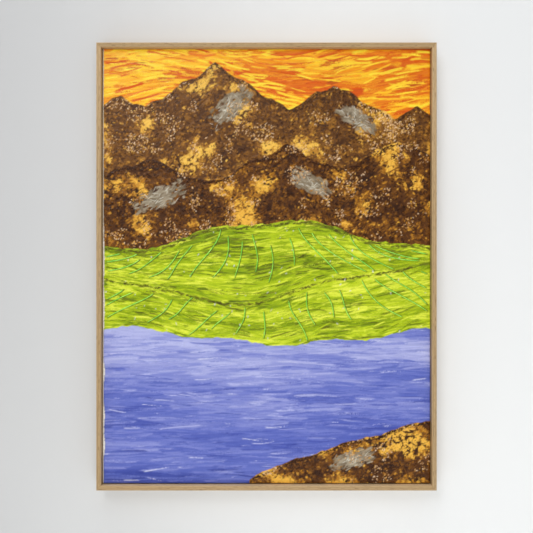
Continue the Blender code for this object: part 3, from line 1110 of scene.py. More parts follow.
@dataclass(frozen=True)
class Line:
    """A line that divides the picture into fields of colour: rolling, or with straight-sided peaks.

    Its swells are each a height, a length and a shift, and its summits a place across, a height and a slope.
    """

    level: float = 0.0
    swells: tuple[tuple[float, float, float], ...] = ()
    summits: tuple[tuple[float, float, float], ...] = ()

    def height(self, x: np.ndarray | float) -> np.ndarray | float:
        """Give the line's height above the middle of the canvas.

        Args:
            x: Place across the canvas from its middle, in metres.

        Returns:
            The height in metres, in the shape of x.
        """
        rolling = self.level + sum(rise * np.sin(2 * math.pi * (x - shift) / span) for rise, span, shift in self.swells)
        if not self.summits:
            return rolling + 0 * x
        return np.max([height - slope * np.abs(x - middle) for middle, height, slope in self.summits], axis=0) + rolling

    def lean(self, x: float) -> float:
        """Give the line's slope at a place across the canvas, as an angle in radians."""
        step = 0.004
        return math.atan2(float(self.height(x + step) - self.height(x - step)), 2 * step)


class BankLine(Line):
    """The line of the bank, which rises from the canvas's foot to the right."""

    def height(self, x: np.ndarray | float) -> np.ndarray | float:
        """Give the bank's height above the middle of the canvas, in the shape of x."""
        rise = np.clip((x + 0.030) / 0.26, 0, 1)
        return -CANVAS_HEIGHT / 2 + 0.088 * rise**0.75 + super().height(x) * rise


FAR_PEAKS = ((-0.204, 0.238, 0.45), (-0.072, 0.284, 0.62), (0.094, 0.255, 0.56), (0.212, 0.222, 0.40))
NEAR_PEAKS = ((-0.168, 0.152, 0.42), (0.028, 0.170, 0.48), (0.186, 0.176, 0.50))
FAR_SKYLINE = Line(0.0, ((0.0025, 0.047, 0.01),), FAR_PEAKS)
NEAR_SKYLINE = Line(0.0, ((0.003, 0.061, 0.02),), NEAR_PEAKS)
BACK_CREST = Line(0.043, ((0.020, 0.47, -0.10), (0.004, 0.15, 0.03)))
FRONT_CREST = Line(-0.020, ((0.027, 0.60, 0.10), (0.005, 0.21, 0.02)))
SHORE = Line(-0.098, ((0.012, 0.53, 0.16), (0.0035, 0.13, 0.05)))
BANK = BankLine(0.0, ((0.003, 0.09, 0.0),))
FOOT = Line(-CANVAS_HEIGHT / 2)


@dataclass(frozen=True)
class Brush:
    """How a brush marks the canvas. Pairs are the least and the most, and sizes are in metres."""

    length: Pair
    width: Pair
    body: float = 0.00042
    bend: float = 2.0
    load: Pair = (0.65, 1.1)
    hair: float = 0.0011
    sway: float = 0.1
    cover: float = 1.0


class PaintedCanvas:
    """The front of the canvas while it is painted: a grid that holds colour, relief and the way of each stroke."""

    def __init__(self, seed: int = 23) -> None:
        """Prime an empty canvas.

        Args:
            seed: Seed for every stroke that follows.
        """
        self.draw = np.random.default_rng(seed)
        self.columns = round(PAINTED_WIDTH / CELL) + 1
        self.rows = round(PAINTED_HEIGHT / CELL) + 1
        self.x = np.linspace(-PAINTED_WIDTH / 2, PAINTED_WIDTH / 2, self.columns)
        self.z = np.linspace(-PAINTED_HEIGHT / 2, PAINTED_HEIGHT / 2, self.rows)
        self.colour = np.tile(PRIMER, (self.rows, self.columns, 1))
        self.relief = np.full((self.rows, self.columns), 0.00005)
        self.way = np.zeros((self.rows, self.columns, 2))
        self.way[..., 0] = 1.0
        self.owner = np.zeros((self.rows, self.columns), dtype=int)
        self.table = self.draw.random((101, 67))
        self.tooth = self.draw.random((self.rows, self.columns))
        self.edge = self._painted_edge()
        self.open = self.edge

    def noise(self, u: np.ndarray | float, v: np.ndarray | float) -> np.ndarray:
        """Give smooth noise from 0 to 1.

        Args:
            u: First coordinate, in cells of the noise.
            v: Second coordinate.

        Returns:
            The noise, in the joint shape of u and v.
        """
        low_u, low_v = np.floor(u).astype(int), np.floor(v).astype(int)
        part_u, part_v = (part * part * (3 - 2 * part) for part in (u - low_u, v - low_v))
        wide, tall = self.table.shape
        left, right = low_u % wide, (low_u + 1) % wide
        rows = low_v % tall, (low_v + 1) % tall
        under, upper = (self.table[left, row] * (1 - part_u) + self.table[right, row] * part_u for row in rows)
        return under * (1 - part_v) + upper * part_v

    def _painted_edge(self) -> np.ndarray:
        """Find where the paint reaches: over the top and bottom edges, but short of the left edge, most of all low
        down, and here and there of the right edge.

        Returns:
            1 where paint may lie, falling to 0 on bare primer.
        """
        x, z = self.x[None, :], self.z[:, None]
        lower = np.clip(0.7 - z / 0.5, 0.2, 1.3)
        left = 0.0013 + 0.0032 * np.clip(self.noise(z / 0.021 + 3, z * 0 + 5) - 0.33, 0, 1) * lower
        right = -0.0014 + 0.0052 * np.clip(self.noise(z / 0.024 + 31, z * 0 + 9) - 0.55, 0, 1)
        rough = (self.noise(z / 0.0024, x * 0 + 3) - 0.5) * 0.0008
        inside = np.minimum(x + CANVAS_WIDTH / 2 - left, CANVAS_WIDTH / 2 - x - right) + rough
        level = np.minimum(z + CANVAS_HEIGHT / 2, CANVAS_HEIGHT / 2 - z) + 0.0014 - 2 * rough
        return np.clip(np.minimum(inside, level) / CELL + 0.5, 0, 1)

    def wash(self, ramp: Ramp, low: float, high: float, cloud: float) -> None:
        """Lay a thin first coat over the open field, which shows where later strokes break.

        Args:
            ramp: The paints.
            low: Darkest place in the ramp.
            high: Lightest place in the ramp.
            cloud: Size of its lighter and darker patches.
        """
        shade = self.noise(self.x[None, :] / cloud + 7, self.z[:, None] / cloud + 2)
        coat = ramp.spread(low + (high - low) * shade)
        self.colour += (coat - self.colour) * self.open[..., None]
        self.relief += (0.00012 - self.relief * 0.7) * self.open

    def _window(self, middle: float, reach: float, places: np.ndarray) -> tuple[int, int]:
        """Find the rows or columns that a stroke can touch, as the first and the one after the last."""
        low, high = (int((middle + end * reach - places[0]) / CELL) for end in (-1, 1))
        return max(0, low), min(len(places), high + 2)

    def stroke(self, place: Pair, angle: float, brush: Brush, first: np.ndarray, second: np.ndarray) -> None:
        """Draw the brush over the canvas once.

        The brush carries two paints that its hairs streak together. The paint runs out along the stroke, catches
        on the cloth's threads where it is dry, and stands higher at the sides and at the end.

        Args:
            place: The stroke's middle, across and up from the middle of the canvas.
            angle: The way it is drawn, in radians.
            brush: The brush.
            first: One paint.
            second: The other.
        """
        length, width = self.draw.uniform(*brush.length), self.draw.uniform(*brush.width)
        load, bend = self.draw.uniform(*brush.load), self.draw.normal(0, brush.bend)
        start = self.draw.integers(0, 1000, 4)
        half, side = length / 2, width / 2
        angle += self.draw.normal(0, brush.sway)
        c, s = math.cos(angle), math.sin(angle)
        bow = side + abs(bend) * half * half
        left, right = self._window(place[0], abs(c) * half + abs(s) * bow, self.x)
        low, high = self._window(place[1], abs(s) * half + abs(c) * bow, self.z)
        if left >= right or low >= high:
            return
        spot = slice(low, high), slice(left, right)
        dx, dz = self.x[None, left:right] - place[0], self.z[low:high, None] - place[1]
        along = dx * c + dz * s
        across = dz * c - dx * s - bend * (along * along - half * half / 3)
        run = along / half
        hair = self.noise(across / brush.hair + start[0], along / 0.04 + start[1])
        lock = self.noise(across / (brush.hair * 2.6) + start[2], along / 0.07 + start[3])
        wander = self.noise(along / 0.009 + start[1], across * 0 + start[2])
        span = np.abs(across / side) * (1 + 0.3 * (wander - 0.5))
        taper = min(0.004, 0.45 * half)
        ends = np.clip((1 - np.abs(run) - 0.30 * hair - 0.12 * lock) * half / taper, 0, 1)
        wet = np.clip((load * 1.9 - (run + 1) * 0.4 - hair - 0.55 * self.tooth[spot] + 0.2) * 2.4, 0, 1)
        cover = np.clip((1 - span) * side / CELL, 0, 1) * ends * wet * self.open[spot] * brush.cover
        mix = np.clip((hair * 0.6 + lock * 0.7 - 0.35) * 1.6, 0, 1)[..., None]
        self.colour[spot] += (first * (1 - mix) + second * mix - self.colour[spot]) * cover[..., None]
        self.way[spot] += (np.array([c, s]) - self.way[spot]) * cover[..., None]
        rim = 1 + 0.8 * np.clip((span - 0.72) * 4, 0, 1) + 0.8 * np.clip(run - 0.6, 0, 1)
        raised = self.relief[spot]
        raised += (raised * 0.42 + brush.body * (0.15 + 0.95 * hair) * rim - raised) * cover

    def toss(self) -> float:
        """Draw a stroke one way or the other: 0 or half a turn."""
        return math.pi if self.draw.random() < 0.5 else 0.0

    def across(self, left: float = -1.0) -> float:
        """Choose a place across the canvas, to the right of a limit."""
        return self.draw.uniform(max(left, -PAINTED_WIDTH / 2), PAINTED_WIDTH / 2)

    def beside(self, tone: float, least: float, most: float, down: float = -1) -> float:
        """Choose a tone to either side of another, at a distance from it that is scaled by down on the dark side."""
        return tone + self.draw.choice((down, 1)) * self.draw.uniform(least, most)


@dataclass
class Field:
    """One field of colour in the picture, between two lines, and the film of acrylic that it becomes."""

    number: int
    name: str
    slot: str
    roughness: float
    upper: Line | None = None
    lower: Line | None = None
    left: float = -1.0

    def paint(self, canvas: PaintedCanvas) -> None:
        """Paint the field.

        Args:
            canvas: The canvas.
        """
        raise NotImplementedError

    def begin(self, canvas: PaintedCanvas, stray: float = 0.0016) -> None:
        """Keep the strokes that follow under the field's upper line, or open the whole canvas where it has none.

        Args:
            canvas: The canvas.
            stray: How far strokes stray over the line here and there.
        """
        canvas.open = canvas.edge
        if self.upper is not None:
            x, z, draw = canvas.x, canvas.z, canvas.draw
            drift = canvas.noise(x / 0.007 + draw.integers(500), x * 0 + draw.integers(500)) - 0.5
            top = self.upper.height(x) + 2 * stray * drift
            under = np.clip((top[None, :] - z[:, None]) / 0.0014 + 0.5, 0, 1)
            inside = x[None, :] > self.left
            canvas.open = canvas.edge * under * inside
            canvas.owner[(under > 0.5) & inside] = self.number

    def spot(self, canvas: PaintedCanvas, over: float, under: float) -> tuple[float, float, float]:
        """Choose a place in the field.

        Args:
            canvas: The canvas.
            over: How far over its upper line the place may lie.
            under: How far under its lower line.

        Returns:
            The place across, the place up, and its share of the way from the lower line to the upper one.
        """
        x, rise = canvas.across(self.left), canvas.draw.random()
        low, top = float(self.lower.height(x)) - under, float(self.upper.height(x)) + over
        return x, low + (top - low) * rise, rise

    def mark_crest(self, canvas: PaintedCanvas, count: int, depth: float, brush: Brush, paints: Paints) -> None:
        """Mark the field's upper line with short strokes.

        Args:
            canvas: The canvas.
            count: How many strokes there are over the whole width.
            depth: How far under the line they may lie.
            brush: The brush.
            paints: Gives the two paints of a stroke.
        """
        for number in range(count):
            x = -CANVAS_WIDTH / 2 + CANVAS_WIDTH * (number + canvas.draw.random()) / count
            if x > self.left:
                spot = x, float(self.upper.height(x)) - canvas.draw.uniform(0.0005, depth)
                canvas.stroke(spot, self.upper.lean(x), brush, *paints())


@dataclass
class Sky(Field):
    """A glowing sky in long flowing strokes."""

    strokes: int = 620
    embers: int = 26
    cluster: int = 4
    foot: float = 0.185
    broad: Brush = Brush((0.035, 0.11), (0.007, 0.015), 0.00044, 1.6)
    fine: Brush = Brush((0.02, 0.06), (0.0020, 0.0045), 0.0005, 3.0, (0.6, 1.0), sway=0.12)
    ember: Brush = Brush((0.015, 0.045), (0.003, 0.006), 0.0004, 3.0, (0.5, 0.8), sway=0.08, cover=0.8)

    def flow(self, x: float, z: float) -> float:
        """Give the way that the sky's strokes flow at a place, in radians."""
        return 0.17 * math.sin(x * 15 + z * 20)

    def paint(self, canvas: PaintedCanvas) -> None:
        """Paint the sky: broad strokes, a few ember-coloured ones, and fine light ones over them.

        Args:
            canvas: The canvas.
        """
        draw, top = canvas.draw, PAINTED_HEIGHT / 2
        self.begin(canvas)
        canvas.wash(FLAME, 0.3, 0.9, 0.05)
        for _ in range(self.strokes):
            x, z = canvas.across(), draw.uniform(self.foot, top)
            glow = 0.05 + 0.85 * float(canvas.noise(x / 0.09 + 20, z / 0.035 + 11)) + draw.normal(0, 0.14)
            paints = FLAME.at(glow), FLAME.at(canvas.beside(glow, 0.2, 0.5))
            canvas.stroke((x, z), self.flow(x, z) + canvas.toss(), self.broad, *paints)
        for _ in range(self.embers):
            x, z = canvas.across(), draw.uniform(self.foot + 0.03, top)
            for _ in range(self.cluster):
                spot = x + draw.normal(0, 0.010), z + draw.normal(0, 0.004)
                paints = EMBER.at(draw.random()), FLAME.at(draw.random() * 0.3)
                canvas.stroke(spot, self.flow(*spot), self.ember, *paints)
        for _ in range(self.strokes * 4 // 5):
            x, z = canvas.across(), draw.uniform(self.foot, top)
            glow = draw.uniform(0.75, 1.0) if draw.random() < 0.6 else draw.uniform(-0.1, 0.25)
            canvas.stroke((x, z), self.flow(x, z), self.fine, FLAME.at(glow), FLAME.at(glow + 0.1))


@dataclass
class Range(Field):
    """A range of earth and rock, stippled in short dabs.

    Its stones are each a place across and up, a length, a width and an angle.
    """

    left: float = -PAINTED_WIDTH / 2
    earth: Ramp = FAR_EARTH
    warmth: float = 0.0
    dabs: int = 3000
    crests: int = 300
    patches: int = 170
    scratches: int = 26
    stones: tuple[tuple[float, float, float, float, float], ...] = ()
    dab: Brush = Brush((0.006, 0.017), (0.0035, 0.0075), 0.00045, 14.0, (0.5, 1.05), sway=0.4)
    touch: Brush = Brush((0.003, 0.008), (0.002, 0.004), 0.0005, 20.0, (0.6, 1.1), sway=0.6)
    # The brush of the light specks, which are partly painted glints
    speck: Brush = Brush((0.0018, 0.0044), (0.0015, 0.0024), 0.0008, 0.0, (0.9, 1.3), sway=1.5)
    patch: Brush = Brush((0.006, 0.018), (0.0026, 0.0055), 0.00045, 6.0, (0.6, 1.0), sway=0.3, cover=0.9)
    scratch: Brush = Brush((0.005, 0.014), (0.0012, 0.0018), 0.0006, 12.0, (0.8, 1.2), sway=0.6)

    def cloud(self, canvas: PaintedCanvas, x: float, z: float) -> float:
        """Give how warm the earth is at a place: soft ochre clouds in the brown.

        Args:
            canvas: The canvas.
            x: Place across.
            z: Place up.

        Returns:
            The place in the earth's ramp.
        """
        wide = float(canvas.noise(x / 0.034 + 40 + 9 * self.number, z / 0.028 + 17))
        small = float(canvas.noise(x / 0.011 + 3 * self.number, z / 0.010 + 50))
        side = 0.08 if self.upper.lean(x) > 0 else -0.03
        warm = 0.66 * wide + 0.34 * small + side + self.warmth
        return 0.13 + 0.34 * warm + 2.7 * max(0.0, warm - 0.57) + canvas.draw.normal(0, 0.12)

    def paint(self, canvas: PaintedCanvas) -> None:
        """Paint the range: dabs, small touches, stones, and light specks that are partly the stipple's own pale colour
        and partly painted glints of light on wet paint.

        Args:
            canvas: The canvas.
        """
        draw, earth = canvas.draw, self.earth
        self.begin(canvas)
        canvas.wash(earth, 0.0, 0.35, 0.02)
        for brush, share, jump in ((self.dab, 1.0, 0.0), (self.touch, 1.5, 0.16)):
            for _ in range(int(self.dabs * share)):
                x, z, _ = self.spot(canvas, 0.003, 0.010)
                angle = self.upper.lean(x) * 1.1 if draw.random() < 0.55 else draw.uniform(0, math.pi)
                tone = self.cloud(canvas, x, z) + draw.normal(0, 1) * jump
                canvas.stroke((x, z), angle, brush, earth.at(tone), earth.at(canvas.beside(tone, 0.1, 0.34)))
        self.mark_crest(canvas, self.crests, 0.005, self.touch, lambda: (earth.at(draw.uniform(0, 0.2)), earth.at(0)))
        for stone in self.stones:
            self.paint_stone(canvas, *stone)
        # Light specks in clusters: pale stipple, and painted highlights standing for glints of light on ridges of wet
        # paint.
        for _ in range(self.dabs * 2):
            x, z, _ = self.spot(canvas, 0.003, 0.010)
            if canvas.noise(x / 0.017 + 60, z / 0.015) + 0.16 * draw.random() > 0.74:
                canvas.stroke((x, z), 0, self.speck, SPECKS_AND_GLINTS.at(draw.random()), earth.at(draw.uniform(0.6, 1)))

    def paint_stone(self, canvas: PaintedCanvas, x: float, z: float, long: float, wide: float, lean: float) -> None:
        """Paint one grey outcrop, worked dry over the earth and scratched with chalk.

        Args:
            canvas: The canvas.
            x: Its place across.
            z: Its place up.
            long: Its length.
            wide: Its width.
            lean: Its angle in radians.
        """
        draw, c, s = canvas.draw, math.cos(lean), math.sin(lean)
        for brush, ramp, count in ((self.patch, STONE, self.patches), (self.scratch, CHALK, self.scratches)):
            for _ in range(count):
                a, b = np.clip(draw.normal(0, 0.38, 2), -0.8, 0.8)
                spot = x + a * long * c - b * wide * s, z + a * long * s + b * wide * c
                canvas.stroke(spot, lean + draw.normal(0, 0.2), brush, ramp.at(draw.random()), ramp.at(draw.random()))


@dataclass
class Hills(Field):
    """A run of green hills, brushed along their slopes."""

    light: float = 0.0
    lines: int = 24
    strokes: int = 620
    crests: int = 170
    # How many white dabs are painted as highlights of light on wet paint
    glints: int = 46
    long: Brush = Brush((0.025, 0.075), (0.0035, 0.009), 0.0004, 2.0)
    streak: Brush = Brush((0.012, 0.05), (0.0014, 0.0030), 0.0006, 3.0, (0.6, 1.0), sway=0.12)
    crest: Brush = Brush((0.006, 0.016), (0.0020, 0.0044), 0.0005, 8.0, (0.5, 0.95), sway=0.2)
    glint: Brush = Brush((0.0022, 0.0060), (0.0015, 0.0021), 0.0008, 0.0, (0.9, 1.3), sway=0.7)

    def paint(self, canvas: PaintedCanvas) -> None:
        """Paint the hills: long strokes, fine streaks, a broken dark crest, and a few white dabs that are painted
        glints of light.

        Args:
            canvas: The canvas.
        """
        draw = canvas.draw
        self.begin(canvas)
        canvas.wash(LEAF, 0.1, 0.6, 0.04)
        for brush, share, jump in ((self.long, 1.0, 0.20), (self.streak, 2.6, 0.34)):
            for _ in range(int(self.strokes * share)):
                x, z, rise = self.spot(canvas, 0.003, 0.012)
                angle = self.upper.lean(x) * rise + self.lower.lean(x) * (1 - rise)
                wide = float(canvas.noise(x / 0.06 + 3, z / 0.010 + 50))
                tone = 0.86 + self.light - 0.80 * wide + draw.normal(0, jump)
                second = LEAF.at(canvas.beside(tone, 0.15, 0.45))
                first = OLIVE.at(draw.random()) if tone < 0.14 else LEAF.at(tone)
                canvas.stroke((x, z), angle + canvas.toss(), brush, first, second)
        self.mark_crest(
            canvas, self.crests, 0.0045, self.crest, lambda: (OLIVE.at(draw.random()), OLIVE.at(draw.random()))
        )
        # White dabs: painted highlights, glints of light on wet paint.
        for _ in range(self.glints):
            x, z, _ = self.spot(canvas, -0.004, 0.0)
            canvas.stroke((x, z), 1.4, self.glint, CHALK.at(draw.random()), FOAM.at(1))


@dataclass
class Water(Field):
    """Still water in long level strokes, paler towards the shore."""

    strokes: int = 760
    glints: int = 110
    under: float = 0.0025
    broad: Brush = Brush((0.05, 0.16), (0.007, 0.017), 0.00040, 0.7, (0.7, 1.1), sway=0.045, cover=0.75)
    thin: Brush = Brush((0.02, 0.09), (0.0016, 0.0045), 0.0005, 1.5, (0.5, 0.9), sway=0.06, cover=0.85)
    glint: Brush = Brush((0.010, 0.05), (0.0014, 0.0030), 0.00055, 3.0, (0.4, 0.75), sway=0.08, cover=0.9)

    def tone(self, canvas: PaintedCanvas, x: float, z: float) -> float:
        """Give the water's place in its ramp: deep low down, pale near the shore.

        Args:
            canvas: The canvas.
            x: Place across.
            z: Place up.

        Returns:
            The place, from 0 for deep to 1 for pale.
        """
        near = max(0.0, z + CANVAS_HEIGHT / 2) / 0.21
        wide = float(canvas.noise(x / 0.20 + 8, z / 0.030 + 4))
        small = float(canvas.noise(x / 0.06 + 2, z / 0.009 + 9))
        return -0.04 + 0.50 * near**1.5 + 0.40 * wide + 0.26 * small

    def paint(self, canvas: PaintedCanvas) -> None:
        """Paint the water: broad strokes, thin ones, and a few pale strokes that are both light touches of the painted
        water and painted glints of light on wet paint.

        Args:
            canvas: The canvas.
        """
        draw = canvas.draw
        self.begin(canvas)
        canvas.wash(WATER, 0.15, 0.6, 0.05)
        for brush, share, jump in ((self.broad, 1.0, 0.09), (self.thin, 2.2, 0.14)):
            for _ in range(int(self.strokes * share)):
                x, z, _ = self.spot(canvas, 0.003, self.under)
                tone = self.tone(canvas, x, z) + draw.normal(0, jump)
                paints = WATER.at(tone), WATER.at(canvas.beside(tone, 0.10, 0.36, -0.8))
                canvas.stroke((x, z), canvas.toss(), brush, *paints)
        # Pale strokes: part of the painted water, and also painted highlights of light on wet paint.
        for _ in range(self.glints):
            x, z, _ = self.spot(canvas, -0.003, self.under)
            canvas.stroke((x, z), 0, self.glint, FOAM.at(draw.random()), WATER.at(1))


def landscape() -> list[Field]:
    """List the picture's fields, from the back of the landscape to its front.

    Returns:
        The fields, whose number is their place in the list.
    """
    far = ((-0.052, 0.222, 0.042, 0.018, 0.75), (0.128, 0.206, 0.034, 0.015, -0.6))
    near = ((-0.150, 0.096, 0.044, 0.018, 0.4), (0.062, 0.116, 0.036, 0.015, -0.5))
    bank = ((0.120, -0.272, 0.036, 0.014, 0.3),)
    brown, ochre = "paint_dark_brown", "paint_ochre_brown"
    return [
        Sky(0, "sky", "paint_orange", 0.34),
        Range(1, "far_range", ochre, 0.28, FAR_SKYLINE, NEAR_SKYLINE, stones=far),
        Range(2, "near_range", brown, 0.26, NEAR_SKYLINE, BACK_CREST, earth=EARTH, warmth=-0.02, stones=near),
        Hills(3, "back_hills", "paint_olive_green", 0.30, BACK_CREST, FRONT_CREST),
        Hills(4, "front_hills", "paint_yellow_green", 0.28, FRONT_CREST, SHORE, light=0.14, lines=21),
        Water(5, "water", "paint_blue", 0.38, SHORE, FOOT),
        Range(6, "bank", brown, 0.26, BANK, FOOT, left=-0.024, earth=EARTH, warmth=0.10, dabs=900, stones=bank),
    ]


@dataclass
class Painting:
    """The picture: a film of acrylic for each field of colour, and lines of paint squeezed on over the hills."""

    canvas: PaintedCanvas = field(default_factory=PaintedCanvas)
    underside: float = 0.00005
    thinnest: float = 0.0002
    edge_limit: float = 0.00030
    corner: float = 0.0004
    thick: float = 0.0006
    line_radius: float = 0.00066
    line_step: float = 0.0022
    line_margin: float = 0.004
    fewest_points: int = 6
    # The brush of the painted shadow beside each raised line
    shadow: Brush = Brush((0.005, 0.008), (0.0022, 0.0030), 0.0002, 0.0, (1.0, 1.3), sway=0.05, cover=0.8)

    def build(self) -> None:
        """Paint the picture, then make its films and its raised lines."""
        fields = landscape()
        for part in fields:
            part.paint(self.canvas)
        rows = [self.row_of_lines(part) for part in fields if isinstance(part, Hills)]
        self.flatten_edges()
        for part in fields:
            film = Acrylic(f"{part.name}_acrylic", part.roughness).dress(self.film(part.number, f"acrylic_{part.name}"))
            hand_over(film, part.slot, f"paint_{part.name}")
        for number, row in enumerate(rows, 1):
            hand_over(GREEN_LINE.dress(self.raised_lines(f"raised_lines_{number}", row)), "paint_yellow_green")

    def flatten_edges(self) -> None:
        """Keep the paint thin where the canvas bends over its bars, so that it clears the frame."""
        from_side = CANVAS_WIDTH / 2 - np.abs(self.canvas.x)[None, :] - CANVAS_BEND
        from_end = CANVAS_HEIGHT / 2 - np.abs(self.canvas.z)[:, None] - CANVAS_BEND
        inside = np.clip(np.minimum(from_side, from_end), 0, None)
        self.canvas.relief = np.minimum(self.canvas.relief, self.edge_limit + 0.12 * inside)

    def bent(self, place: np.ndarray, half: float) -> tuple[np.ndarray, np.ndarray, np.ndarray]:
        """Follow the canvas's surface from its middle over its bend and down its side.

        Args:
            place: How far along the surface, either way from the middle.
            half: Half the canvas's size that way.

        Returns:
            The place across, how far behind the canvas's front it lies, and the surface's angle, 0 on the front.
        """
        over = np.clip(np.abs(place) - (half - CANVAS_BEND), 0, None)
        angle = np.clip(over / CANVAS_BEND, 0, math.pi / 2)
        side = np.clip(over - CANVAS_BEND * math.pi / 2, 0, None)
        reach = np.minimum(np.abs(place), half - CANVAS_BEND) + CANVAS_BEND * np.sin(angle)
        return np.sign(place) * reach, CANVAS_BEND * (1 - np.cos(angle)) + side, np.sign(place) * angle

    def surface(self, s: np.ndarray, t: np.ndarray, lift: np.ndarray | float) -> np.ndarray:
        """Give points on or over the canvas's outside.

        Args:
            s: Places across the canvas, measured over its surface from the middle.
            t: Places up the canvas.
            lift: How far the points stand off the cloth.

        Returns:
            The points, one to a row.
        """
        x, back_x, lean_x = self.bent(s, CANVAS_WIDTH / 2)
        z, back_z, lean_z = self.bent(t, CANVAS_HEIGHT / 2)
        outward = np.stack([np.sin(lean_x), -np.cos(lean_x) * np.cos(lean_z), np.sin(lean_z)], axis=-1)
        outward /= np.linalg.norm(outward, axis=-1, keepdims=True)
        points = np.stack([x, CANVAS_FRONT + back_x + back_z, CANVAS_MIDDLE + z], axis=-1)
        return points + outward * np.asarray(lift)[..., None]

    def owned(self, number: int) -> np.ndarray:
        """Find the grid's cells that one film covers: those that its field owns, without the canvas's corners.

        Args:
            number: The field's number.

        Returns:
            True for each cell that it covers, by row and column.
        """
        over_x = np.abs(self.canvas.x[:-1] + CELL / 2) > CANVAS_WIDTH / 2 - self.corner
        over_z = np.abs(self.canvas.z[:-1] + CELL / 2) > CANVAS_HEIGHT / 2 - self.corner
        return (self.canvas.owner[:-1, :-1] == number) & ~(over_x[None, :] & over_z[:, None])

    def film(self, number: int, name: str) -> Piece:
        """Make one field's film of paint, closed on its underside.

        Args:
            number: The field's number.
            name: The film's name.

        Returns:
            The film.
        """
        canvas, cells = self.canvas, self.owned(number)
        rows, columns = np.flatnonzero(cells.any(axis=1)), np.flatnonzero(cells.any(axis=0))
        low, high, left, right = rows[0], rows[-1] + 1, columns[0], columns[-1] + 1
        deselect()
        bpy.ops.mesh.primitive_grid_add(x_subdivisions=int(right - left), y_subdivisions=int(high - low), size=1)
        film = renamed(bpy.context.object, name)
        window = slice(low, high + 1), slice(left, right + 1)
        t, s = np.meshgrid(canvas.z[window[0]], canvas.x[window[1]], indexing="ij")
        relief = canvas.relief[window]
        self.write(film, "sheet", "FLOAT2", np.stack([s, t], axis=-1))
        self.write(film, "paint", "FLOAT_COLOR", np.dstack([canvas.colour[window], np.ones(s.shape)]))
        self.write(film, "way", "FLOAT_VECTOR", np.dstack([canvas.way[window], np.clip(relief / self.thick, 0, 1)]))
        self.write(film, "relief", "FLOAT", relief)
        with editing(film):
            bpy.ops.mesh.select_mode(type="FACE")
            mesh = bmesh.from_edit_mesh(film.data)
            for face, kept in zip(mesh.faces, cells[low:high, left:right].ravel()):
                face.select_set(not kept)
            bmesh.update_edit_mesh(film.data)
            bpy.ops.mesh.delete(type="FACE")
        self.thicken(film)
        self.close_back(film)
        self.map_for_bake(film)
        for used in ("sheet", "relief"):
            film.data.attributes.remove(film.data.attributes[used])
        return settle(film)

    def write(self, film: Piece, name: str, kind: str, values: np.ndarray) -> None:
        """Write an attribute on a film's vertices.

        Args:
            film: The film.
            name: The attribute's name.
            kind: Its type.
            values: Its values, in the order of the vertices.
        """
        made = film.data.attributes.new(name, kind, "POINT")
        word = {"FLOAT": "value", "FLOAT_COLOR": "color"}.get(kind, "vector")
        made.data.foreach_set(word, values.astype(np.float32).ravel())

    def thicken(self, film: Piece) -> None:
        """Give a film its thickness: its front follows the strokes' relief, and its back the cloth.

        Args:
            film: The film, one layer of cells so far.
        """
        modify(film, "SOLIDIFY", thickness=0.0003, offset=-1)
        sheet = gather(film.data.attributes["sheet"].data, "vector", 2).astype(float)
        lift = gather(film.data.attributes["relief"].data, "value").astype(float) + self.thinnest
        lift[len(sheet) // 2 :] = self.underside
        points = self.surface(sheet[:, 0], sheet[:, 1], lift)
        film.data.vertices.foreach_set("co", points.astype(np.float32).ravel())
        film.data.update()

    def close_back(self, film: Piece) -> None:
        """Make the flat of a film's back one plain face of few triangles, and shade the film.

        Args:
            film: The film.
        """
        with editing(film):
            pick(film, Element.FACE, self.on_back)
            bpy.ops.mesh.delete(type="FACE")
            bpy.ops.mesh.select_mode(type="EDGE")
            others = {"use_wire": False, "use_multi_face": False, "use_non_contiguous": False, "use_verts": False}
            bpy.ops.mesh.select_non_manifold(extend=False, use_boundary=True, **others)
            bpy.ops.mesh.fill(use_beauty=False)
            face_outwards()
            pick(film, Element.FACE, lambda middle, normal: normal.y < -0.02 or self.on_side(middle, normal))
            bpy.ops.mesh.region_to_loop()
            bpy.ops.mesh.mark_sharp()
        bpy.ops.object.shade_smooth()

    def on_back(self, middle: Vector, normal: Vector) -> bool:
        """Tell whether a face of a film is in the flat of its back."""
        inside = abs(middle.x) < CANVAS_WIDTH / 2 - 0.002 and abs(middle.z - CANVAS_MIDDLE) < CANVAS_HEIGHT / 2 - 0.002
        return inside and normal.y > 0.99

    def on_side(self, middle: Vector, normal: Vector) -> bool:
        """Tell whether a face of a film is on the outside of the part that goes down the canvas's sides."""
        places = ((middle.x, CANVAS_WIDTH, normal.x), (middle.z - CANVAS_MIDDLE, CANVAS_HEIGHT, normal.z))
        return any(abs(at) > size / 2 + 0.0001 and way * at > 0 and abs(way) > 0.5 for at, size, way in places)

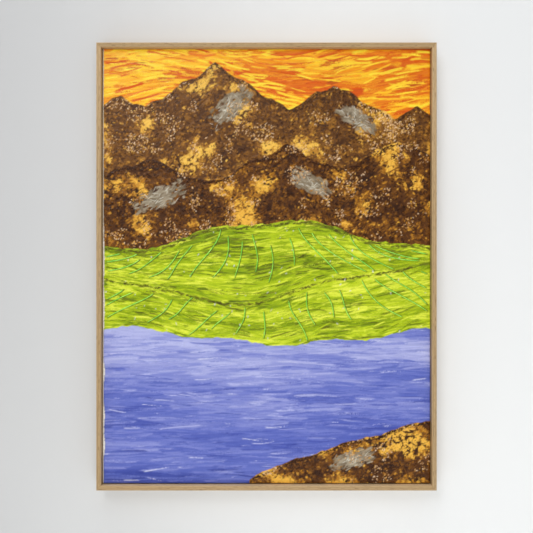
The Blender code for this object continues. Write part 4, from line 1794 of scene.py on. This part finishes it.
    def map_for_bake(self, film: Piece) -> None:
        """Map a film in its UV map OFBake: its front over most of the square, its back and its rim in strips below.

        Args:
            film: The film.
        """
        data = film.data
        sheet = gather(data.attributes["sheet"].data, "vector", 2)
        lift = gather(data.vertices, "co", 3) - self.surface(sheet[:, 0].astype(float), sheet[:, 1].astype(float), 0.0)
        front = np.linalg.norm(lift, axis=1) > (self.underside + self.thinnest) / 2
        corners = gather(data.loops, "vertex_index", kind=np.int32)
        sizes = gather(data.polygons, "loop_total", kind=np.int32)
        face = np.repeat(np.arange(len(sizes)), sizes)
        fronts = np.bincount(face, weights=front[corners], minlength=len(sizes))
        rims = (fronts > 0) & (fronts < sizes)
        shares = ((sheet - sheet.min(axis=0)) / np.ptp(sheet, axis=0))[corners]
        v = np.where((fronts == 0)[face], 0.002 + 0.038 * shares[:, 1], 0.06 + 0.94 * shares[:, 1])
        turn = np.arange(len(corners)) - np.concatenate([[0], np.cumsum(sizes)[:-1]])[face]
        count = max(1, int(rims.sum()))
        strip = ((np.cumsum(rims) - 1)[face] + np.isin(turn, (1, 2)) * 0.9) / count
        u = np.where(rims[face], strip, shares[:, 0])
        v = np.where(rims[face], 0.045 + 0.010 * np.isin(turn, (2, 3)), v)
        write_map(film, "OFBake", u, v)

    def row_of_lines(self, hills: Hills) -> list[list[Pair]]:
        """Plan a row of lines over a run of hills, and paint a dark stroke along one side of each as the painted shadow
        of the raised line.

        Args:
            hills: The hills.

        Returns:
            Each line's points, across and up.
        """
        canvas, row = self.canvas, []
        canvas.open = canvas.edge
        for number in range(hills.lines):
            line = self.line_points(hills, (number + 0.5) / hills.lines - 0.5)
            if len(line) < self.fewest_points:
                continue
            row.append(line)
            # Dark olive strokes just right of and below the line: painted shadow that the raised bead would cast.
            for (x, z), (next_x, next_z) in zip(line[:-1], line[1:]):
                spot = (x + next_x) / 2 + 0.0009, (z + next_z) / 2 - 0.0003
                angle = math.atan2(next_z - z, next_x - x)
                canvas.stroke(spot, angle, self.shadow, OLIVE.at(canvas.draw.random()), LEAF.at(0.0))
        return row

    def line_points(self, hills: Hills, share: float) -> list[Pair]:
        """Plan one line from crest to foot.

        Args:
            hills: The hills.
            share: Where the line stands in its row, from -0.5 to 0.5.

        Returns:
            The points, across and up.
        """
        draw = self.canvas.draw
        crown, foot = share * 0.50 + draw.normal(0, 0.007), share * 0.84 + draw.normal(0, 0.013)
        start, stop = draw.uniform(0.03, 0.30), draw.uniform(0.62, 0.98)
        phase, swing = draw.uniform(0, 6), draw.uniform(0.002, 0.007)
        points, along = [], start
        while along < stop:
            x = crown + (foot - crown) * along**1.3 + swing * math.sin(along * 6 + phase)
            top, low = float(hills.upper.height(x)), float(hills.lower.height(x))
            if abs(x) < CANVAS_WIDTH / 2 - self.line_margin:
                points.append((x, top + (low - top) * along))
            along += self.line_step / max(0.01, math.hypot(top - low, foot - crown))
        return points

    def raised_lines(self, name: str, row: list[list[Pair]]) -> Piece:
        """Squeeze lines of paint over the hills as beads that swell and thin.

        Args:
            name: The piece's name.
            row: Each line's points, across and up.

        Returns:
            The lines.
        """
        deselect()
        bpy.ops.curve.primitive_bezier_curve_add()
        curve = bpy.context.object
        curve.data.splines.clear()
        curve.data.bevel_depth = self.line_radius
        curve.data.bevel_resolution = 1
        curve.data.use_fill_caps = True
        for number, line in enumerate(row):
            spline = curve.data.splines.new("POLY")
            spline.points.add(len(line) - 1)
            for n, ((x, z), place) in enumerate(zip(line, spline.points)):
                up, across = round((z + PAINTED_HEIGHT / 2) / CELL), round((x + PAINTED_WIDTH / 2) / CELL)
                lift = self.thinnest + float(self.canvas.relief[up, across]) + self.line_radius * 0.3
                place.co = (x, CANVAS_FRONT - lift, CANVAS_MIDDLE + z, 1)
                ends = min(1.0, 0.35 + 0.4 * min(n, len(line) - 1 - n))
                place.radius = ends * (0.75 + 0.5 * self.canvas.noise(n / 2.2 + 30 * number, 7.0))
        hold(curve)
        bpy.ops.object.convert(target="MESH")
        lines = renamed(bpy.context.object, name)
        with editing(lines):
            bpy.ops.mesh.select_all(action="SELECT")
            bpy.ops.mesh.remove_doubles(threshold=0.000001)
            face_outwards()
        bpy.ops.object.shade_smooth()
        return settle(lines)


# The frame, the stretcher, the canvas and their fixings

BARS_WIDTH = CANVAS_WIDTH - BAR_LENGTH_ALLOWANCE
BARS_HEIGHT = CANVAS_HEIGHT - BAR_LENGTH_ALLOWANCE


def lathe(name: str, rings: Sequence[Pair], sides: int) -> Piece:
    """Build a round piece ring by ring, as a filled circle that is extruded and scaled at each step.

    Args:
        name: The piece's name.
        rings: Each ring's radius and its height along Z.
        sides: How many sides the circle has.

    Returns:
        The piece, with its axis on Z.
    """
    (radius, height), *rest = rings
    deselect()
    bpy.ops.mesh.primitive_circle_add(vertices=sides, radius=radius, fill_type="NGON", location=(0, 0, height))
    piece = settle(renamed(bpy.context.object, name))
    with editing(piece):
        bpy.ops.mesh.select_mode(type="FACE")
        bpy.ops.mesh.select_all(action="SELECT")
        for wider, higher in rest:
            bpy.ops.mesh.extrude_region_move(TRANSFORM_OT_translate={"value": (0, 0, higher - height)})
            scale = wider / radius
            bpy.ops.transform.resize(value=(scale, scale, 1), center_override=(0, 0, higher))
            radius, height = wider, higher
        face_outwards()
    return piece


def facing_wall(x: float, y: float, z: float) -> Matrix:
    """Turn a piece made along Z so that its top faces the wall, and bring it to a place."""
    return Matrix.Translation((x, y, z)) @ Matrix.Rotation(-math.pi / 2, 4, "X")


@dataclass
class Screws:
    """The countersunk screws that hold the stretcher on the frame's ledge, two to a side."""

    head: float = 0.0033
    shank: float = 0.0016
    length: float = 0.016
    tip: float = 0.0012
    inset: float = 0.018
    spread: float = 0.29
    recess: float = 0.0011
    arm_reach: float = 0.0019
    arm_half: float = 0.00042
    sides: int = 28

    def places(self) -> list[tuple[Side, int, float, float]]:
        """List where the screws go.

        Returns:
            Each screw's side, number, x and z.
        """
        across, up = FRAME_WIDTH / 2 - self.inset, FRAME_HEIGHT / 2 - self.inset
        found = []
        for number, end in enumerate((-1, 1), 1):
            wide, tall = end * self.spread * FRAME_WIDTH, end * self.spread * FRAME_HEIGHT
            found += [(Side.LEFT, number, -across, tall), (Side.RIGHT, number, across, tall)]
            found += [(Side.TOP, number, wide, up), (Side.BOTTOM, number, wide, -up)]
        return [(side, number, x, FRAME_MIDDLE + z) for side, number, x, z in found]

    def holes(self, side: Side) -> list[Piece]:
        """Make the cutters for one side's screw holes.

        Args:
            side: The side.

        Returns:
            The cutters, in place.
        """
        head, shank = self.head + TOUCH, self.shank + TOUCH
        rings = ((head, 0.001), (head, -TOUCH), (shank, -TOUCH - head + shank), (shank, -self.length - TOUCH))
        spots = [facing_wall(x, FRAME_BACK, z) for found, _, x, z in self.places() if found is side]
        return [settle(lathe("screw_hole", rings, self.sides), spot) for spot in spots]

    def build(self) -> None:
        """Model one screw with its cross recess, and copy it to every place."""
        head, shank = self.head, self.shank
        crown = ((head * 0.94, 0.0), (head, -0.00012), (head, -TOUCH), (shank, -TOUCH - head + shank))
        model = lathe("screw_model", (*crown, (shank, self.tip - self.length), (0.0002, -self.length)), self.sides)
        carve(model, [self.recess_arm(turn) for turn in (45, 135)])
        ease_edges(model, 0.00008, 1, 50)
        for side, number, x, z in self.places():
            turn = Matrix.Rotation(x * 31 + z * 17, 4, "Z")
            screw = copied(model, f"oak_screw_{side.label}_{number}", facing_wall(x, FRAME_BACK - TOUCH, z) @ turn)
            hand_over(STEEL.dress(screw), "steel", f"screw_{side.label}_{number}")
        bpy.data.objects.remove(model)

    def recess_arm(self, degrees: float) -> Piece:
        """Make one arm of the cross that the recess is cut with, narrower at its foot.

        Args:
            degrees: The arm's turn about the screw.

        Returns:
            The cutter.
        """
        x, y = self.arm_reach, self.arm_half
        arm = block(f"recess_{degrees}", (-x, -y, -self.recess), (x, y, 0.0006))
        with editing(arm):
            pick(arm, Element.FACE, lambda middle, normal: normal.z < -0.9)
            bpy.ops.transform.resize(value=(0.25, 0.6, 1), center_override=(0, 0, -self.recess))
        return settle(arm, Matrix.Rotation(math.radians(degrees), 4, "Z"))


@dataclass
class FloatFrame:
    """Four mitred oak rails of L section: a thin wall round the canvas, and a ledge behind it."""

    face: float = 0.0066
    ledge: float = 0.0286
    rounding: float = 0.0006
    eased: float = 0.00016
    joint: float = 0.00008
    fastener_inset: float = 0.009
    fastener_leg: float = 0.007
    fastener_depth: float = 0.0045
    room: float = 0.0002
    screws: Screws = field(default_factory=Screws)

    def build(self) -> None:
        """Build and dress the rails, and dress the fasteners in their mitres."""
        for number, side in enumerate(Side):
            rail = self.rail(side)
            hand_over(oak(side, 0.37 + 0.61 * number).dress(rail), "oak_frame", f"frame_rail_{side.label}")
        for row, column, _, _ in CORNERS:
            STEEL.dress(bpy.data.objects[f"mitre_fastener_{row}_{column}"])

    def rail(self, side: Side) -> Piece:
        """Build one rail.

        Args:
            side: The side that it stands on.

        Returns:
            The rail, in place.
        """
        length = FRAME_HEIGHT if side.upright else FRAME_WIDTH
        front, inner = FRAME_FRONT + 0.00001, self.ledge - self.face
        rail = block(f"oak_rail_{side.label}", (0, FRAME_FRONT, -length / 2), (self.face, FRAME_BACK, length / 2))
        with editing(rail):
            cut_plane((0, LEDGE_FRONT, 0), (0, 1, 0))
            pull(rail, lambda middle, normal: normal.x > 0.9 and middle.y > LEDGE_FRONT, (inner, 0, 0))
            round_edges(rail, lambda middle, way: abs(way.z) > 0.9 and middle.y < front, self.rounding, 3)
            cut_mitres(length, self.joint)
        settle(rail, side.matrix(FRAME_WIDTH, FRAME_HEIGHT, FRAME_MIDDLE))
        nails = Hanger().nail_holes() if side is Side.TOP else []
        carve(rail, self.screws.holes(side) + self.fastener_slots(side, length) + nails)
        ease_edges(rail, self.eased)
        mark_edges(rail)
        return rail

    def fastener_slots(self, side: Side, length: float) -> list[Piece]:
        """Make the cutters for the slots that the corner fasteners are pressed into.

        Args:
            side: The rail's side.
            length: The rail's length.

        Returns:
            The cutters, in place.
        """
        slots = []
        for end in (-1, 1):
            near = end * (length / 2 - self.fastener_inset + self.room)
            far = end * (length / 2 - self.fastener_inset - self.fastener_leg - self.room)
            low = (self.fastener_inset - 0.0001, FRAME_BACK - self.fastener_depth - self.room, min(near, far))
            high = (self.fastener_inset + 0.0007, FRAME_BACK + 0.0005, max(near, far))
            slots.append(settle(block(f"slot_{end}", low, high), side.matrix(FRAME_WIDTH, FRAME_HEIGHT, FRAME_MIDDLE)))
        return slots


@dataclass
class Stretcher:
    """Four mitred pine bars with a raised outer lip, and the wedges that spread their corners."""

    width: float = 0.038
    lip: float = 0.004
    ramp: float = 0.002
    slope: float = 0.003
    ease: float = 0.0005
    joint: float = 0.00012
    wedge_length: float = 0.028
    wedge_wide: float = 0.012
    wedge_narrow: float = 0.006
    wedge_thick: float = 0.003
    sunk: float = 0.008
    room: float = 0.00025
    layers: Pair = (0.0045, 0.0095)
    screws: Screws = field(default_factory=Screws)

    def build(self) -> None:
        """Build and dress the bars and the wedges."""
        for number, side in enumerate(Side):
            bar = self.bar(side)
            hand_over(pine(side, 1.13 + 0.47 * number).dress(bar), "pine_bars", f"stretcher_bar_{side.label}")
        model = ease_edges(self.wedge("wedge_model", 0.0), 0.00025)
        mark_edges(model)
        for row, column, upright, matrix in self.wedge_places():
            place = f"{row}_{column}_{'a' if upright else 'b'}"
            hand_over(WEDGE_WOOD.dress(copied(model, f"wedge_{place}", matrix)), "wedge_wood", f"key_{place}")
        bpy.data.objects.remove(model)

    def bar(self, side: Side) -> Piece:
        """Build one bar.

        Args:
            side: The side that it stands on.

        Returns:
            The bar, in place.
        """
        length = BARS_HEIGHT if side.upright else BARS_WIDTH
        front, past, half_slope = BAR_FRONT + 0.00001, self.lip + 0.0001, (0, self.slope / 2, 0)
        bar = block(f"pine_bar_{side.label}", (0, BAR_FRONT, -length / 2), (self.width, BAR_BACK, length / 2))
        with editing(bar):
            cut_plane((self.lip, 0, 0), (1, 0, 0))
            cut_plane((self.lip + self.ramp, 0, 0), (1, 0, 0))
            shift(bar, lambda at, _: at.y < front and at.x > past, half_slope)
            shift(bar, lambda at, _: at.y < -0.02 and at.x > self.width - 0.0001, half_slope)
            round_edges(bar, lambda at, way: abs(way.z) > 0.9 and at.y < front and at.x < 0.0001, self.ease, 3)
            cut_mitres(length, self.joint)
        settle(bar, side.matrix(BARS_WIDTH, BARS_HEIGHT, CANVAS_MIDDLE))
        slots = [
            settle(self.wedge(f"slot_{row}_{column}_{upright}", self.room), matrix)
            for row, column, upright, matrix in self.wedge_places()
            if side.label == (row if upright else column)
        ]
        carve(bar, self.screws.holes(side) + slots)
        ease_edges(bar, 0.0004)
        mark_edges(bar)
        return bar

    def wedge(self, name: str, grown: float) -> Piece:
        """Make a wedge, with its straight edge at X = 0 and its thin end down, or the slot that it fits.

        Args:
            name: The piece's name.
            grown: How much bigger it is all round.

        Returns:
            The wedge, centred on Y = 0.
        """
        deep = self.wedge_thick / 2 + grown
        low, high = -self.sunk - grown, self.wedge_length - self.sunk
        made = block(name, (TOUCH - grown, -deep, low), (TOUCH + self.wedge_wide + grown, deep, high))
        with editing(made):
            thin = self.wedge_narrow - self.wedge_wide
            shift(made, lambda at, _: at.z < 0 and at.x > self.wedge_narrow, (thin, 0, 0))
        return made

    def wedge_places(self) -> list[tuple[str, str, bool, Matrix]]:
        """List where the wedges go.

        Returns:
            Each wedge's row and column, whether it lies along the upright bar, and its matrix.
        """
        across, up = BARS_WIDTH / 2 - self.width, BARS_HEIGHT / 2 - self.width
        found = []
        for row, column, x, z in CORNERS:
            for upright, layer in zip((True, False), self.layers):
                rows = ((-x, 0, 0), (0, x * z, 0), (0, 0, -z)) if upright else ((0, 0, -x), (0, -x * z, 0), (-z, 0, 0))
                middle = BAR_BACK - layer - self.wedge_thick / 2
                place = Matrix.Translation((x * across, middle, CANVAS_MIDDLE + z * up))
                found.append((row, column, upright, place @ Matrix(rows).to_4x4()))
        return found


@dataclass
class StretchedCanvas:
    """One sheet of primed cotton over the bars, folded in behind them and stapled.

    What is stray is how far a staple strays along its row, in its turn and across the row.
    """

    thickness: float = 0.0005
    fold: float = 0.028
    flat: Pair = (0.555, 0.705)
    grid: float = 0.0075
    margin: float = 0.004
    insets: tuple[float, ...] = (0.012, 0.0215, 0.0245)
    lifted: float = 0.0216
    staple_inset: float = 0.0247
    staple_gap: float = 0.046
    staple_free: float = 0.08
    stray: tuple[float, float, float] = (0.0025, 0.12, 0.0003)
    crown: float = 0.010
    wave: float = 0.006
    ragged: float = 0.0016
    puff: float = 0.00045
    puff_ramp: float = 0.004
    seed: int = 5
    screws: Screws = field(default_factory=Screws)

    def build(self) -> None:
        """Build and dress the sheet and its staples."""
        sheet = self.sheet()
        hand_over(sheet, "canvas", "canvas")
        [f"pine_bar_{side.label}" for side in Side]
        self.staples()

    def sheet(self) -> Piece:
        """Fold the sheet round the bars, from a box whose back is opened.

        Returns:
            The sheet.
        """
        x, z = CANVAS_WIDTH / 2, CANVAS_HEIGHT / 2
        low, high = (-x, CANVAS_FRONT, CANVAS_MIDDLE - z), (x, CANVAS_BACK, CANVAS_MIDDLE + z)
        sheet = block("stretched_canvas", low, high)
        with editing(sheet):
            pick(sheet, Element.FACE, lambda middle, normal: normal.y > 0.9)
            bpy.ops.mesh.inset(thickness=self.fold, depth=0)
            bpy.ops.mesh.delete(type="FACE")
            round_edges(sheet, lambda middle, way: self.on_outside(middle), CANVAS_BEND, 3)
            for axis, half in ((0, x), (2, z)):
                reach = half - self.margin
                steps = round(2 * reach / self.grid)
                for n in range(steps + 1):
                    self.cut_across(axis, -half + self.margin + 2 * reach * n / steps)
            for inset in self.insets:
                for axis, half in ((0, x), (2, z)):
                    for end in (-1, 1):
                        self.cut_across(axis, end * (half - inset))
        self.ruffle(sheet)
        for finish in (PRIMED_CLOTH, RAW_CLOTH):
            sheet.data.materials.append(finish.material())
        back = {"offset": -1, "use_even_offset": True, "material_offset": 1, "material_offset_rim": 1}
        modify(sheet, "SOLIDIFY", thickness=self.thickness, **back)
        carve(sheet, [hole for side in Side for hole in self.screws.holes(side)])
        bpy.ops.object.shade_smooth_by_angle(angle=math.radians(35))
        self.map_cloth(sheet)
        return settle(sheet)

    def cut_across(self, axis: int, at: float) -> None:
        """Cut the sheet in edit mode across the axis X or Z, at a distance from its middle."""
        cut_plane([(n == 2) * CANVAS_MIDDLE + (n == axis) * at for n in range(3)], [float(n == axis) for n in range(3)])

    def on_outside(self, middle: Vector) -> bool:
        """Tell whether an edge lies on the box's outside edges, and not round the opening in its back."""
        places = ((middle.x, CANVAS_WIDTH), (middle.z - CANVAS_MIDDLE, CANVAS_HEIGHT))
        return any(abs(abs(at) - size / 2) < 0.0001 for at, size in places)

    def ruffle(self, sheet: Piece) -> None:
        """Make the folded strip's cut edge uneven, and lift it a little between the staples.

        Args:
            sheet: The sheet, still one layer.
        """
        table = np.random.default_rng(self.seed).random(400)
        size = len(table)
        for vertex in sheet.data.vertices:
            at = vertex.co
            if at.y < CANVAS_BACK - 0.0001:
                continue
            x, z = at.x, at.z - CANVAS_MIDDLE
            from_side, from_end = CANVAS_WIDTH / 2 - abs(x), CANVAS_HEIGHT / 2 - abs(z)
            inset, sideways = min(from_side, from_end), from_side < from_end
            along, out = (z, x) if sideways else (x, z)
            place = along / self.wave + (200 if out > 0 else 60)
            low = math.floor(place)
            part = place - low
            rough = table[low % size] * (1 - part) + table[(low + 1) % size] * part
            if inset > self.fold - 0.0002:
                at[0 if sideways else 2] -= math.copysign((rough - 0.5) * self.ragged, out)
            if inset > self.lifted:
                between = math.sin(math.pi * along / self.staple_gap) ** 2
                at.y += self.puff * between * rough * min(1.0, (inset - self.lifted) / self.puff_ramp)

    def map_cloth(self, sheet: Piece) -> None:
        """Map the sheet in metres, so that its weave runs over its folds.

        Args:
            sheet: The sheet.
        """
        data = sheet.data
        place = gather(data.vertices, "co", 3)[gather(data.loops, "vertex_index", kind=np.int32)]
        sizes = gather(data.polygons, "loop_total", kind=np.int32)
        facing = np.repeat(np.abs(gather(data.polygons, "normal", 3)).argmax(axis=1), sizes)
        u = np.where(facing == 0, place[:, 1] + 0.3, place[:, 0])
        v = np.where(facing == 2, place[:, 1] + 0.4, place[:, 2])
        write_map(sheet, "cloth", u, v)

    def staples(self) -> None:
        """Model one staple, and copy it along the folded strip on every side."""
        draw = np.random.default_rng(self.seed + 1)
        model = self.staple()
        slid, turned, aside = self.stray
        for side in Side:
            length = CANVAS_HEIGHT if side.upright else CANVAS_WIDTH
            count = round((length - self.staple_free) / self.staple_gap) + 1
            matrix = side.matrix(CANVAS_WIDTH, CANVAS_HEIGHT, CANVAS_MIDDLE)
            row = []
            for n in range(count):
                along = (n - (count - 1) / 2) * self.staple_gap + draw.normal(0, slid)
                tilt = Matrix.Rotation(draw.normal(0, turned), 4, "Y")
                spot = Matrix.Translation((self.staple_inset + draw.normal(0, aside), CANVAS_BACK, along))
                row.append(copied(model, f"staple_{side.label}_{n}", matrix @ spot @ tilt))
            hand_over(STEEL.dress(joined(row, f"staples_{side.label}")), "steel")
        bpy.data.objects.remove(model)

    def staple(self) -> Piece:
        """Make a staple, its crown along Z and its legs going forward into the bar.

        Returns:
            The staple, with the middle of its crown's underside at the origin.
        """
        half, wire, leg = self.crown / 2, 0.00055, 0.0006
        staple = block("staple_model", (-wire, 0.00002, -half), (wire, 0.00052, half))
        with editing(staple):
            for end in (-1, 1):
                cut_plane((0, 0, end * (half - leg)), (0, 0, 1))
            pull(staple, lambda middle, normal: normal.y < -0.9 and abs(middle.z) > half - leg, (0, -0.006, 0))
            round_edges(staple, lambda middle, way: abs(way.x) > 0.9 and middle.y > 0.0004, 0.00022, 2)
        return ease_edges(staple, 0.00008, 1)


@dataclass
class Hanger:
    """The toothed plate that the wall's nail carries, and the two nails that hold it."""

    length: float = 0.060
    height: float = 0.011
    thickness: float = 0.0008
    lift: float = 0.0011
    flat: float = 0.011
    ramp: float = 0.002
    tooth: float = 0.0025
    pitch: float = 0.004
    rounding: float = 0.0022
    outside: float = -0.0011
    nail_seat: float = -0.00118
    nail_head: float = 0.0023
    nail_shank: float = 0.0007
    nail_length: float = 0.005

    @property
    def nail_spots(self) -> tuple[tuple[str, float, float], ...]:
        """Where the two nails go, as side, x and z."""
        x, z = (self.length - self.flat) / 2, self.height / 2 - self.tooth
        return (("left", -x, z), ("right", x, z))

    def nail_holes(self) -> list[Piece]:
        """Make the cutters for the nails' holes in the rail and the plate."""
        rings = ((self.nail_shank + 0.0002, 0.002), (self.nail_shank + 0.0002, -self.nail_length))
        return [settle(lathe("nail_hole", rings, 16), facing_wall(x, self.outside, z)) for _, x, z in self.nail_spots]

    def build(self) -> None:
        """Build and dress the plate and its nails."""
        hand_over(BRASS.dress(self.plate()), "hanger_metal", "sawtooth_hanger")
        dome = ((0.42, 0.00084), (0.74, 0.00068), (0.94, 0.00040), (1.0, 0.00016), (1.0, 0.0))
        rings = [(0.0004, 0.00088), *((self.nail_head * share, height) for share, height in dome)]
        rings += [(self.nail_shank, -0.00004), (self.nail_shank, 0.001 - self.nail_length), (0.0001, -self.nail_length)]
        model = lathe("nail_model", rings, 28)
        bpy.ops.object.shade_smooth_by_angle(angle=math.radians(40))
        for side, x, z in self.nail_spots:
            nail = copied(model, f"plate_nail_{side}", facing_wall(x, self.nail_seat, z))
            hand_over(BRASS.dress(nail), "hanger_metal", f"hanger_nail_{side}")
        bpy.data.objects.remove(model)

    def plate(self) -> Piece:
        """Bend and punch the plate from a strip, with notches along its lower edge.

        Returns:
            The plate.
        """
        half, bend = self.length / 2, self.length / 2 - self.flat
        inner = bend - self.ramp
        columns = sorted({-half, half, -bend, bend, -inner, inner} | {n * self.pitch / 2 for n in range(-9, 10)})
        deselect()
        bpy.ops.mesh.primitive_grid_add(x_subdivisions=len(columns) - 1, y_subdivisions=1, size=1)
        plate = renamed(bpy.context.object, "hanging_plate")
        for n, vertex in enumerate(plate.data.vertices):
            x = columns[n % len(columns)]
            raised = min(max((bend - abs(x)) / self.ramp, 0), 1)
            height = self.height - self.tooth if n >= len(columns) else -self.tooth * self.depth_at(x)
            vertex.co = (x, FRAME_BACK + TOUCH + self.lift * raised, height)
        with editing(plate):
            pick(plate, Element.VERTEX, lambda at, _: abs(at.x) > half - 0.0001)
            bpy.ops.mesh.bevel(offset=self.rounding, segments=4, affect="VERTICES")
            face_outwards()
        offset = 1 if plate.data.polygons[0].normal.y > 0 else -1
        modify(plate, "SOLIDIFY", thickness=self.thickness, offset=offset)
        with editing(plate):
            face_outwards()
        return ease_edges(carve(plate, self.nail_holes()), 0.00010)

    def depth_at(self, x: float) -> float:
        """Give how far the lower edge reaches at a place, from 0 in a notch to 1 at a tooth's tip."""
        return 1.0 if abs(x) > 4.5 * self.pitch else abs((x / self.pitch + 0.5) % 1 - 0.5) * 2


@dataclass
class Bumpers:
    """The four soft bumpers that hold the frame off the wall."""

    radius: float = 0.005
    height: float = 0.0022
    inset_x: float = 0.034
    inset_z: float = 0.011

    def build(self) -> None:
        """Model one bumper and copy it to the four corners."""
        steps = ((0.960, 0.0), (1.0, 0.06), (0.995, 0.20), (0.965, 0.40), (0.900, 0.60))
        steps += ((0.790, 0.78), (0.620, 0.91), (0.400, 0.98), (0.150, 1.0))
        model = lathe("bumper_model", [(self.radius * r, self.height * h) for r, h in steps], 40)
        bpy.ops.object.shade_smooth_by_angle(angle=math.radians(60))
        across, up = FRAME_WIDTH / 2 - self.inset_x, FRAME_HEIGHT / 2 - self.inset_z
        for row, column, x, z in CORNERS:
            place = facing_wall(x * across, FRAME_BACK + TOUCH, FRAME_MIDDLE + z * up)
            bumper = copied(model, f"soft_bumper_{row}_{column}", place)
            hand_over(BUMPER.dress(bumper), "bumper_rubber", f"wall_bumper_{row}_{column}")
        bpy.data.objects.remove(model)


# The studio


@dataclass(frozen=True)
class Lamp:
    """A soft square light that shines on the middle of the painting: its side in metres, its power in watts."""

    name: str
    place: tuple[float, float, float]
    size: float
    power: float
    glossy: bool = True

    def build(self) -> None:
        """Set the light up."""
        deselect()
        bpy.ops.object.light_add(type="AREA", location=self.place)
        light = bpy.context.object
        light.name = self.name
        light.data.size = self.size
        light.data.energy = self.power
        toward = Vector((0, 0, FRAME_MIDDLE)) - Vector(self.place)
        light.rotation_euler = toward.to_track_quat("-Z", "Y").to_euler()
        light.visible_camera = False
        light.visible_glossy = self.glossy


@dataclass
class Studio:
    """The pale wall that the painting hangs on, the floor, the lights and the camera."""

    camera_back: float = 1.1803
    lens: float = 55.28
    plane_size: float = 6.0
    wall_middle: float = -0.3
    floor: float = -1.5
    ambient: float = 0.374
    lamps: tuple[Lamp, ...] = (
        Lamp("front_light", (0.02, -2.6, -0.6), 1.3, 21.2, glossy=False),
        Lamp("key_light", (-0.76, -2.25, 0.75), 0.6, 7.6),
        Lamp("high_light", (-0.35, -2.0, 1.3), 0.9, 6.6),
        Lamp("top_light", (-0.15, -0.26, 3.2), 1.2, 111.0),
        Lamp("back_light", (0.9, 2.3, 0.9), 1.6, 60.0),
    )

    def build(self) -> None:
        """Build the wall and the floor, and set the lights and the camera."""
        # The wall's colour darkens towards the left and the top as painted shade.
        shaded_wall_paint = ShadedWallPaint("shaded_wall_paint", (201, 202, 203), (239, 241, 242))
        wall = self.plane("wall", (0, TOUCH, self.wall_middle), math.pi / 2, shaded_wall_paint)
        wall.visible_shadow = False
        floor_paint = ShadedWallPaint("floor_paint", (226, 226, 224), (230, 230, 228))
        self.plane("floor", (0, TOUCH - self.plane_size / 2, self.floor), 0, floor_paint)
        for lamp in self.lamps:
            lamp.build()
        self.surroundings()
        self.camera()

    def plane(self, name: str, place: tuple[float, float, float], turn: float, paint: ShadedWallPaint) -> Piece:
        """Put up a large painted plane.

        Args:
            name: Its name.
            place: Its middle.
            turn: Its turn about X, 0 where it lies level.
            paint: Its paint.

        Returns:
            The plane.
        """
        deselect()
        bpy.ops.mesh.primitive_plane_add(size=self.plane_size, location=place, rotation=(turn, 0, 0))
        plane = paint.dress(settle(renamed(bpy.context.object, name)))
        return plane

    def surroundings(self) -> None:
        """Give the room an even pale light."""
        world = bpy.data.worlds.new("room")
        world.use_nodes = True
        sky = world.node_tree.nodes["Background"]
        sky.inputs["Color"].default_value = (1.0, 0.99, 0.97, 1)
        sky.inputs["Strength"].default_value = self.ambient
        bpy.context.scene.world = world
        bpy.context.scene.view_settings.view_transform = "Standard"

    def camera(self) -> None:
        """Stand the camera straight before the middle of the frame."""
        deselect()
        bpy.ops.object.camera_add(location=(0, -self.camera_back, FRAME_MIDDLE), rotation=(math.pi / 2, 0, 0))
        camera = bpy.context.object
        camera.name = "camera"
        camera.data.lens = self.lens
        camera.data.sensor_width = 36.0
        bpy.context.scene.camera = camera


def main() -> None:
    """Build the sub-assemblies in order, from the frame in."""
    logging.basicConfig(level=logging.INFO, format="%(name)s %(message)s", stream=sys.stdout)
    for part in (FloatFrame(), Stretcher(), StretchedCanvas(), Painting(), Screws(), Hanger(), Bumpers(), Studio()):
        LOG.info("building %s", type(part).__name__)
        part.build()
    deselect()


if __name__ == "__main__":
    main()
